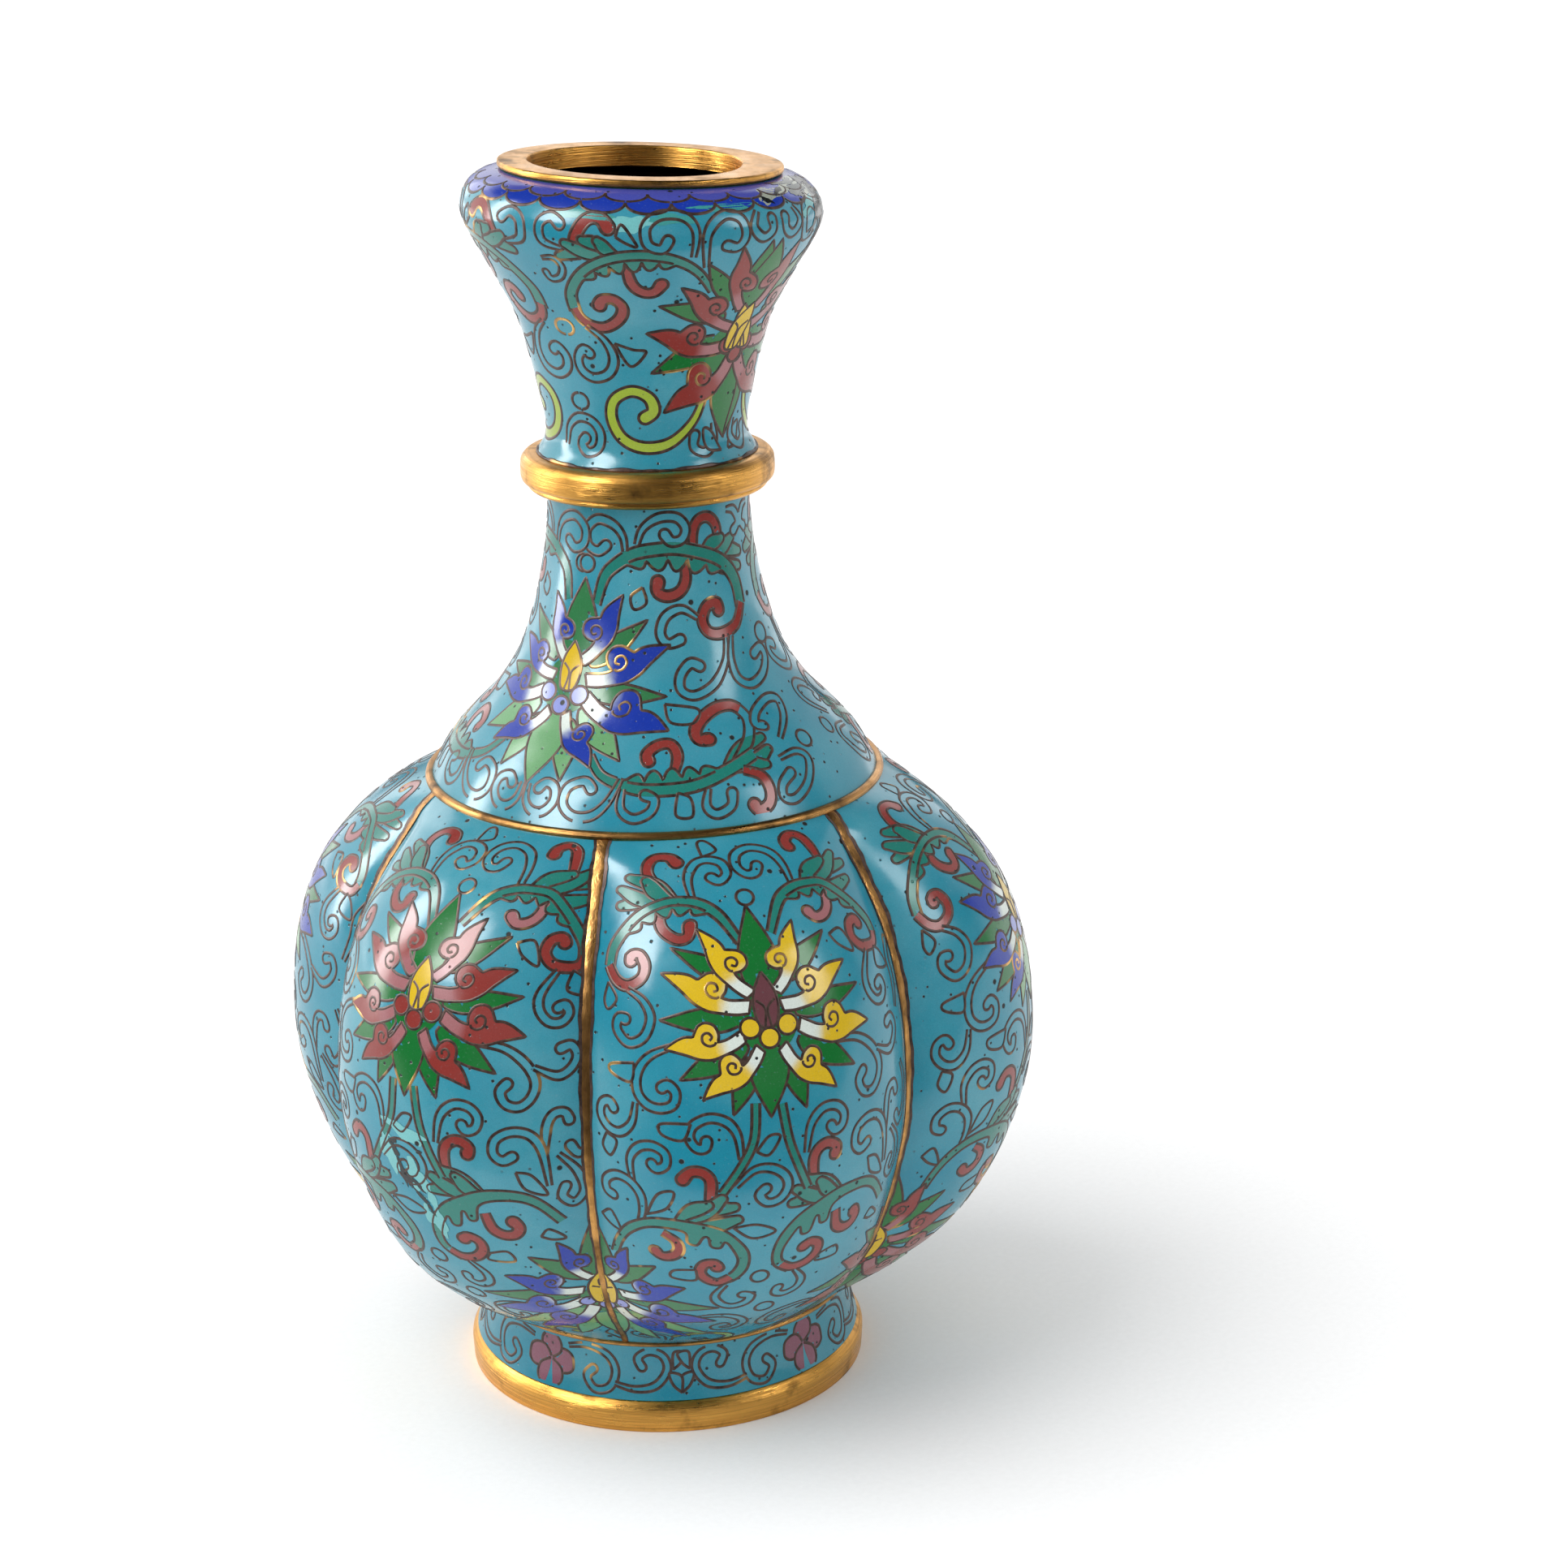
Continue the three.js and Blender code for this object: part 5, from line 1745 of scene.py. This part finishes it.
# ---------- the upper neck's pattern
UPPER_MARKS: tuple[Mark, ...] = (
    Scroll(((-11, 35.4), (-9.8, 39.8), (-8, 41.9), (-6.2, 42), (-5.1, 40.7)), RED, 0.9, 0.8),
    Frond((-3.5, 36.2), ((-13.6, 35.6), (-12.6, 38), (-9.6, 38.8), (-7, 38.8)), 1.15),
    red_curl((-2.6, 35), (-1.8, 31.2), (-0.2, 29.5), (1.6, 29.5), (2.7, 31)),
    Scroll(((10.6, 29.2), (8.4, 33), (5, 35.4), (0, 36.3), (-5, 35.5), (-9, 33), (-11.2, 29),
        (-10.7, 25.4)), TEAL, 0.95, 0.6, False, 6),
    red_curl((-10.8, 26), (-9.8, 24.2), (-8, 23), (-5.8, 22.8), (-3.8, 24.3), (-3.2, 26.4), (-4.5, 28),
        (-6.2, 27.9), (-6.8, 26.7), start=0.9),
    curl((-9, 22.8), (-6.2, 20.5), (-4.8, 17.5), (-5.6, 15), (-8, 14.1), (-10.1, 15.2), (-10.7, 17.2),
        (-9.7, 18.7), (-8.7, 18.1)),
    Almond(((-4.6, 20), (-1.8, 19), (0.2, 18.6), (-2.2, 16.2))),
    Ring((-12.6, 22.3), 1.35),
    Ring((-10.6, 10), 1.35),
    Scroll(((9.6, 11.6), (7.6, 7), (3.8, 3.6), (-0.4, 2.9), (-3.8, 4.4), (-5.4, 7.6), (-4.9, 10.6),
        (-2.2, 12.1), (0.4, 11), (1.1, 8.8), (-0.2, 7.7)), LIME, 0.85, 0.6),
    curl((11, 6), (11.2, 3.2), (9.5, 1.5), (7.5, 2.4), (7.6, 4.3)),
    Almond(((14.2, 1.4), (16.6, 2), (17.2, 5.2), (15.4, 4.4))),
    curl((7.6, 36), (8, 40.4), (6, 42.6), (2.6, 42.7), (0.5, 40.9), (0.8, 38.3), (2.8, 37.5),
        (3.8, 38.9)),
    curl((9.6, 34), (9.8, 39.6), (12.4, 42.5), (15.3, 41.9), (16.3, 39.3), (14.9, 37.4), (13, 37.8)),
    curl((-12.6, 37), (-15.6, 38), (-16, 40.6), (-14, 41.8), (-12.6, 40.8)),
    Almond(((-4, 39.4), (-3, 41.2), (-0.8, 38), (-2.4, 38.4))),
    curl((18.4, 42.8), (17.8, 40.4), (19.6, 38.6), (21.6, 39.6), (21.4, 41.4)),
)
UPPER_JOIN: tuple[Mark, ...] = (
    curl((-14, 2.6), (-13.4, 5.4), (-11.4, 7.2), (-8.9, 6.9), (-7.4, 5), (-7.8, 2.6), (-9.6, 1.8),
        (-10.8, 3), (-10, 4)),
    Scroll(((-16, 34.9), (-13.9, 35.1), (-12.5, 33.6), (-12.9, 31.7), (-14.5, 31.1), (-15.4, 32.3)), None,
        0.5),
)
UPPER_LEAVES = (
    ((13, 24), (2.2, 26.8), 1.7), ((12.5, 20), (0.8, 15), 1.9), ((14, 27), (10, 34.6), 1.6),
    ((13.4, 17), (7, 12), 1.6), ((16, 15.5), (13, 3.2), 2.4), ((18, 25), (21.8, 38), 2.8))
UPPER_PETALS = (
    ((14.6, 21.4), (5.7, 30.2), 1), ((12.8, 18.4), (0.2, 21.8), 1),
    ((16, 24.6), (16, 37.3), 1), ((14.6, 16.4), (2.6, 8.4), 1))


def upper_flower(bloom: Bloom) -> Flower:
    """The flower on the upper neck. Its right half is a turned-over copy of its left half."""
    return Flower(bloom, UPPER_LEAVES, UPPER_PETALS, (((13.4, 18.6), 1.35), ((15.4, 17), 1.35)),
                  (16.9, 26, 21.6, 17.8, 1.9))


# ---------- the foot's pattern
FOOT_MARKS: tuple[Mark, ...] = (
    Scroll(((-17, 7.4), (-13.6, 8.1), (-10.2, 7), (-8.8, 4.4), (-9.8, 1.6), (-12.4, 0.9), (-13.8, 2.8),
        (-12.6, 4.2)), None, 0.6),
    Scroll(((-9, 2.2), (-5.6, 1.5), (-2.2, 2.2), (-0.3, 4.8), (-1, 7.2), (-3.2, 8), (-5, 6.8),
        (-4.4, 5.2)), None, 0.6),
    Almond(((0.6, 4.8), (0.8, 7.8), (2.6, 7.6), (1.8, 5.8))),
    Almond(((2, 0.9), (2, 3.6), (4, 4.2), (3.4, 2.2))),
)


@dataclass(frozen=True)
class Blossom(Mark):
    """A four-petalled pink blossom."""

    middle: Point
    reach: float = 4.3
    glaze: Glaze = Glaze.PINK

    def shapes(self) -> list[Shape]:
        """Four round-ended petals that meet in the middle."""
        found = []
        for quarter in range(4):
            c, s = math.cos(quarter * TURN / 4), math.sin(quarter * TURN / 4)
            half = [(0.0, 0.0), (0.3, 0.42), (0.68, 0.46), (0.95, 0.28), (1.0, 0.0)]
            edge = catmull(half, 5)
            outline = np.vstack([edge, edge[::-1][1:-1] * (1, -1)]) * self.reach
            turned = outline @ np.array(((c, s), (-s, c))) + np.array(self.middle)
            found.append(Shape(turned, [loop(turned)], self.glaze))
        return found


# ---------- wear and repairs
RIM_DAMAGE: tuple[Mark, ...] = (
    Blot((-1.5, 41.4), 3.4, 1.2, Glaze.PALE_TURQUOISE, 0.1),
    Blot((4.4, 42.1), 3.4, 0.8, Glaze.SEA_GREEN),
    Blot((-9, 42.4), 5, 0.7, Glaze.SEA_GREEN),
    Blot((13, 43.8), 5, 0.7, Glaze.SEA_GREEN),
    Blot((21.6, 45.6), 3.2, 1.5, Glaze.CREAM, 0.3),
    Blot((29.5, 46.4), 5.4, 1.7, Glaze.CREAM, 0.1, 3),
    Blot((35, 44.5), 3.6, 2, Glaze.CREAM, 0.6, 3),
    Blot((33, 42.4), 4.6, 0.8, Glaze.PALE_TURQUOISE, 0.3, 3),
    soot((20.8, 44.4), 1.1, 0.5, -0.6),
    soot((26.6, 47.6), 3.6, 0.5, -0.15),
    soot((33.4, 46.6), 2.6, 0.6, 0.5),
    soot((36.6, 44.2), 3.4, 0.9, 0.9),
    Blot((30, 45.4), 3.4, 1.0, Glaze.ASH, 0.1, 3),
    Blot((36, 43.6), 2.6, 1.3, Glaze.ASH, 0.7, 3),
    soot((37.4, 44.6), 2.6, 1.2, 0.7),
    soot((39, 42.2), 1.4, 2.4, 0.1),
    Blot((29, 47.4), 2.2, 0.7, Glaze.ASH, 0.2, 4),
    soot((37.8, 40.6), 0.8, 2.2, 0.3),
    soot((35.4, 46.4), 3.0, 0.6, 0.1),
    Blot((39.4, 38.8), 1.6, 1.0, Glaze.ASH, 0.1, 3),
    soot((34.6, 40.2), 3.0, 0.7, 0.9),
    soot((24, 46), 1.8, 0.4, 0.4),
    soot((37, 41), 2.6, 0.8, 0.5),
    soot((31, 44.2), 1.6, 0.4, 0.2),
)
LOBE_DAMAGE: tuple[Mark, ...] = (
    Blot((3, 57.6), 4.2, 1.1, Glaze.PALE_TURQUOISE, -0.3, 3),
    Blot((-0.5, 53.4), 1.5, 3.4, Glaze.PALE_TURQUOISE, 0.3, 3),
    Blot((4.6, 50), 1.6, 3.2, Glaze.PALE_TURQUOISE, 0.4, 3),
    Blot((6, 43.4), 1.6, 4, Glaze.PALE_TURQUOISE, 0.1, 3),
    soot((0.8, 54), 0.5, 1.7, 0.5),
    soot((2.9, 49.2), 0.7, 1.3, 0.1),
    soot((4.4, 48.6), 0.4, 1.5, 0.7),
    soot((5.6, 44.4), 0.3, 1.1, 0.3),
    soot((1.8, 50.4), 0.5, 2.4, 0.2),
    soot((4.4, 46.6), 0.4, 1.8, 0.7),
    soot((0.6, 55.6), 0.9, 0.4, 0.1),
    soot((5.6, 54.8), 0.6, 0.3, 0.1),
)


# ---------- laying the patterns
EVERYWHERE = Window(lambda m: np.full_like(m, 99.0), 0.5, 110.0)


@dataclass
class LobePattern:
    """The pattern on the six lobes, in three colourings that come round twice."""

    blooms: tuple[Bloom, Bloom, Bloom] = (YELLOW_BLOOM, BLUE_BLOOM, RED_BLOOM)
    groove_blooms: tuple[Bloom, Bloom, Bloom] = (RED_BLOOM, YELLOW_BLOOM, BLUE_BLOOM)
    shifts: tuple[float, float, float] = (0.0, 2.0, 5.4)
    repaired: int = 5
    edge: float = 0.55

    def lay(self, tree: WireTree, enamel: Material) -> None:
        """Lays the pattern on all six lobes, and the repair on the one that needs it."""
        window = Window(lambda m: WALL.half_width(m) - self.edge, 1.0, WALL.rise - 0.7)
        for number in range(LOBES):
            kind = number % 3
            marks = (*LOBE_LEFT, *LOBE_RIGHT, lobe_flower(self.blooms[kind]))
            drawing = Drawing(marks, LobeChart(0.0)).moved(lambda p: p + (self.shifts[kind], 0.0))
            for bloom, way in ((self.groove_blooms[kind - 1], -1), (self.groove_blooms[kind], 1)):
                flower = Drawing((groove_flower(bloom),)).moved(
                    lambda p: slid(p[:, 0] + way * WALL.half_width(p[:, 1]), p[:, 1]))
                drawing = flower.over(drawing)
            chart = LobeChart(number * LOBE_ANGLE)
            decoration = Decoration(f"lobe_{number + 1}", "turquoise_enamel", tree, enamel)
            decoration.lay(drawing, window, [chart])
            if number == self.repaired:
                decoration.lay(Drawing(LOBE_DAMAGE), EVERYWHERE, [chart])
            decoration.build()


@dataclass
class NeckPattern:
    """A flower and its scrolls, turned over on their other side, and all again at the back."""

    wall: TurnedChart
    marks: tuple[Mark, ...]
    flower: Flower
    front: float
    axis: float
    mirror: float
    low: float
    high: float
    whole_flower: bool

    def lay(self, decoration: Decoration) -> None:
        """Lays the pattern twice round the neck."""
        radius = self.wall.radius

        def centred(p: Array) -> Array:
            """Points measured from the flower's middle line."""
            return slid(p[:, 0] - radius(p[:, 1]) * self.axis, p[:, 1])

        scrolls = Drawing(self.marks, self.wall).moved(centred)
        bloom = Drawing((self.flower,)).moved(centred)
        if not self.whole_flower:
            pairs = zip(bloom.shapes, bloom.moved(mirrored).shapes)
            bloom.shapes = sorted((s for pair in pairs for s in pair), key=lambda s: s.layer)
        reach = abs(self.mirror - self.axis)
        window = Window(lambda m: radius(m) * reach, self.low, self.high)
        charts = [self.wall.turned_to(self.front + self.axis + turn) for turn in (0, math.pi)]
        decoration.lay(bloom.over(scrolls.moved(mirrored).over(scrolls)), window, charts,
                       (1.0, (math.pi - reach) / reach))


@dataclass
class ScaleRows:
    """Two rows of hanging scales round the shoulder of the mouth.

    Attributes:
        rows: Each row's lowest, cusp and top heights on the wall, its glaze and its turn.
    """

    wall: TurnedChart
    count: int = 24
    rows: tuple[tuple[float, float, float, Glaze, float], ...] = (
        (42.9, 45.0, 47.0, Glaze.COBALT, 0.0), (45.1, 47.1, 49.4, Glaze.VIOLET, 0.5))

    def lay(self, decoration: Decoration) -> None:
        """Lays one scale's width of both rows, again and again round the rim."""
        radius = self.wall.radius
        drawing = Drawing()
        pitch = TURN / self.count
        t = np.linspace(0, math.pi, 25)
        for bottom, cusp, top, glaze, offset in self.rows:
            m = cusp - (cusp - bottom) * np.sin(t) ** 0.8
            height = np.concatenate([m, [top, top]])
            for i in (-1, 0, 1):
                angle = (i + offset) * pitch - pitch / 2 * np.cos(t)
                across = np.concatenate([angle, angle[[-1, 0]]]) * radius(height)
                outline = slid(across, height)
                drawing.shapes.append(Shape(outline, [outline[:len(t)]], glaze))
        window = Window(lambda m: radius(m) * pitch / 2, 42.0, self.wall.rise_from_datum - 0.3)
        charts = [self.wall.turned_to(i * pitch) for i in range(self.count)]
        decoration.lay(drawing, window, charts)


@dataclass
class FootPattern:
    """Pink blossoms round the foot, with a pair of scrolls between neighbours."""

    wall: TurnedChart
    front: float
    blossoms: tuple[float, float] = (-20.5, 24.5)
    blossom_height: float = 4.4

    def lay(self, decoration: Decoration) -> None:
        """Lays the front panel as drawn and the other three a little wider."""
        left, right = self.blossoms
        middle = (left + right) / 2
        first = Drawing(FOOT_MARKS)
        drawing = first.moved(lambda p: mirrored(p) + (2 * middle, 0)).over(first)
        flowers = Drawing(Blossom((x, self.blossom_height)) for x in self.blossoms)
        drawing = flowers.over(drawing).moved(lambda p: p - (middle, 0.0))
        half = (right - left) / 2
        window = Window(lambda m: np.full_like(m, half), 0.2, 8.5)
        radius = float(self.wall.radius(np.array(self.blossom_height)))
        panel = 2 * half / radius
        wide = (TURN - panel) / 3
        start = self.front + middle / radius
        centres = [start] + [start + panel / 2 + wide * (k + 0.5) for k in range(3)]
        charts = [self.wall.turned_to(centre) for centre in centres]
        decoration.lay(drawing, window, charts, (1.0, *[wide / panel] * 3))


# ---------- gilt mounts
def turned_mount(name: str, section: Array, finish: Material, nodes: Sequence[str] = (),
                 steps: int = 240, shape: Callable[[Array], Array] | None = None,
                 sharp: float = 40.0) -> None:
    """A turned piece of gilt metal, made from its section."""
    make_piece(name, *turned_solid(section, steps, shape), finish, "gilt_brass", nodes, sharp)


def bead_section(radius: float, height: float, wide: float, tall: float, count: int) -> Array:
    """The section of a round or oval bead."""
    angle = np.arange(count) * TURN / count
    return np.stack([radius + wide * np.cos(angle), height + tall * np.sin(angle)], -1)


@dataclass
class GiltMounts:
    """The mouth ring, collar, fillets and foot ring."""

    mouth_top: float = 200.2
    mouth_inner: float = 17.3
    mouth_plate: float = 1.3
    mouth_lip: float = 3.2
    bite: float = 1.6
    collar_bore: float = 15.1
    seam_radius: float = 17.05
    foot_bore: float = 28.9
    foot_edge: float = 3.9

    def build(self, gilt: Material, rubbed: Material, dull: Material) -> None:
        """Makes each mount from its own section."""
        self._mouth(gilt)
        self._collar(gilt, dull)
        self._fillets(rubbed)
        self._foot(gilt)

    def _mouth(self, gilt: Material) -> None:
        """The flat mouth ring with its turned-down lip. Its bore is flattened on the low side."""
        outer = node_radius("mouth_ring")
        top = self.mouth_top
        under = top - self.mouth_plate
        inner = self.mouth_inner
        section = rounded([
            (inner, top - self.mouth_lip, 0.0), (inner + 0.9, top - self.mouth_lip, 0.0),
            (inner + 0.9, under, 0.0), (outer - 0.6, under, 0.0), (outer, under + 0.35, 0.25),
            (outer, top, 0.45), (inner, top, 0.35)])

        def shape(points: Array) -> Array:
            """Flattens the bore towards the camera's right, and leans the whole mouth."""
            radius = np.hypot(points[:, 0], points[:, 1])
            angle = np.arctan2(points[:, 0], -points[:, 1])
            near = np.clip((outer - radius) / (outer - inner), 0, 1)
            turned = np.cos(angle - KNOCK.facing)
            pull = self.bite * near * np.clip(turned, 0, 1) ** 3
            wave = 0.12 * np.sin(3 * angle + 1.0) + 0.08 * np.sin(5 * angle)
            factor = (radius - pull + wave * near) / radius
            moved = points.copy()
            moved[:, :2] *= factor[:, None]
            return KNOCK.apply(moved)

        turned_mount("mouth", section, gilt, ["mouth_ring"], 200, shape, 50)

    def _collar(self, gilt: Material, dull: Material) -> None:
        """The neck's collar, a broad bead above a narrow one, and the dark seam on top of it."""
        low, high = node_bottom("neck_collar"), node_top("neck_collar")
        bead = node_radius("neck_collar")
        bore = self.collar_bore
        outline = catmull([
            (bead - 2.6, low), (bead - 1.6, low + 0.12), (bead - 1.05, low + 0.6),
            (bead - 1.1, low + 1.05), (bead - 0.4, low + 1.35), (bead, low + 2.1),
            (bead, high - 1.7), (bead - 0.22, high - 0.85), (bead - 0.95, high - 0.18),
            (bead - 1.9, high), (bead - 3.0, high)], per_span=4)
        section = np.vstack([[(bore, low)], outline, [(bore, high)]])
        turned_mount("collar", section, gilt, ["neck_collar"], 220, sharp=60)

        def ragged(points: Array) -> Array:
            """Makes the seam swell and shrink on its way round."""
            round_it = np.arctan2(points[:, 0], -points[:, 1])
            rise = 0.12 * np.sin(9 * round_it) + 0.08 * np.sin(23 * round_it + 1)
            return points + np.outer(rise * (points[:, 2] > high + 0.2), (0, 0, 1))

        turned_mount("collar_seam", bead_section(self.seam_radius, high + 0.12, 0.42, 0.3, 8), dull,
                     shape=ragged)

    def _fillets(self, gilt: Material) -> None:
        """The wires that close the shoulder and the foot."""
        for name, node, size in (("shoulder_wire", "shoulder_fillet", 0.78),
                                 ("foot_wire", "foot_fillet", 0.48)):
            height = (node_bottom(node) + node_top(node)) / 2
            section = bead_section(node_radius(node) - size + 0.04, height, size, size, 14)
            turned_mount(name, section, gilt, [node])

    def _foot(self, gilt: Material) -> None:
        """The foot ring, rounded on its upper edge and flat underneath."""
        outer = node_radius("foot_ring")
        top = node_top("foot_ring")
        bore = self.foot_bore
        section = rounded([
            (bore, 0.0, 0.3), (outer - 0.25, 0.0, 0.25), (outer, self.foot_edge, 0.8),
            (outer - 1.1, top, 0.35), (bore, top, 0.3)])
        turned_mount("foot_band", section, gilt, ["foot_ring"], sharp=50)


# ---------- build
def dress_frame(copper: Material, plain: Material) -> None:
    """Gives the CAD's own copper walls and counter-enamel their finishes."""
    shells = ("upper_neck_shell", "lower_neck_shell", "body_upper_shell", "body_lower_shell",
              "foot_shell")
    for node in shells:
        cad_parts[node].material_slots[0].material = copper
    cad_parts["base_counter_enamel"].material_slots[0].material = plain


def decorate(tree: WireTree, enamel: Material) -> None:
    """Lays the wires and cells of every band, and what is drawn on it once."""
    LobePattern().lay(tree, enamel)
    side = LOWER_WALL.turned_to(FRONT - math.radians(33))
    front = UPPER_WALL.turned_to(FRONT)
    lower = NeckPattern(LOWER_WALL, LOWER_MARKS, lower_flower(BLUE_BLOOM), front=side.facing,
                        axis=math.radians(-4.4), mirror=math.radians(94), low=0.5, high=50.0,
                        whole_flower=True)
    upper = NeckPattern(UPPER_WALL, UPPER_MARKS, upper_flower(RED_BLOOM), front=FRONT,
                        axis=math.radians(47.5), mirror=math.radians(-36.5), low=0.6, high=44.5,
                        whole_flower=False)
    bands = (
        ("lower_neck", "turquoise_enamel", 1.1, lower, LOWER_JOIN, side),
        ("upper_neck", "turquoise_enamel", 0.55, upper, UPPER_JOIN, front),
        ("scales", "scale_band_enamel", 0.45, ScaleRows(UPPER_WALL), RIM_DAMAGE, front),
        ("foot", "turquoise_enamel", 1.1, FootPattern(FOOT_SIDE, FRONT), (), front))
    for name, slot, step, pattern, extra, chart in bands:
        decoration = Decoration(name, slot, tree, enamel, step)
        pattern.lay(decoration)
        decoration.lay(Drawing(extra, chart), EVERYWHERE, [chart])
        decoration.build()


def main() -> None:
    """Builds the studio and the vase, and reports each piece."""
    logging.basicConfig(level=logging.INFO)
    Studio().build()
    turquoise = EnamelFinish("turquoise_enamel", Glaze.TURQUOISE).build()
    gilt = GiltFinish("worn_gilding").build()
    copper = CopperFinish("beaten_copper").build()
    plain = EnamelFinish("counter_enamel", Glaze.TURQUOISE, cloud=0.6, roughness=0.4).build()
    dress_frame(copper, plain)
    brown = ((0.60, 0.31, 0.095), (0.20, 0.095, 0.036))
    rubbed = GiltFinish("rubbed_gilding", 0.45, 1.0, *brown).build()
    groove = GiltFinish("groove_gilding", 0.5, 1.0, *brown, upright=True).build()
    dull = WireFinish("dull_metal", 0.66).build()
    LobedBody().build(turquoise, groove, dull)
    for band in BANDS:
        band.build(turquoise)
    GiltMounts().build(gilt, rubbed, dull)
    decorate(WireTree(WireFinish("cloison_wire").build()), EnamelFinish("cell_enamel").build())


if __name__ == "__main__":
    main()
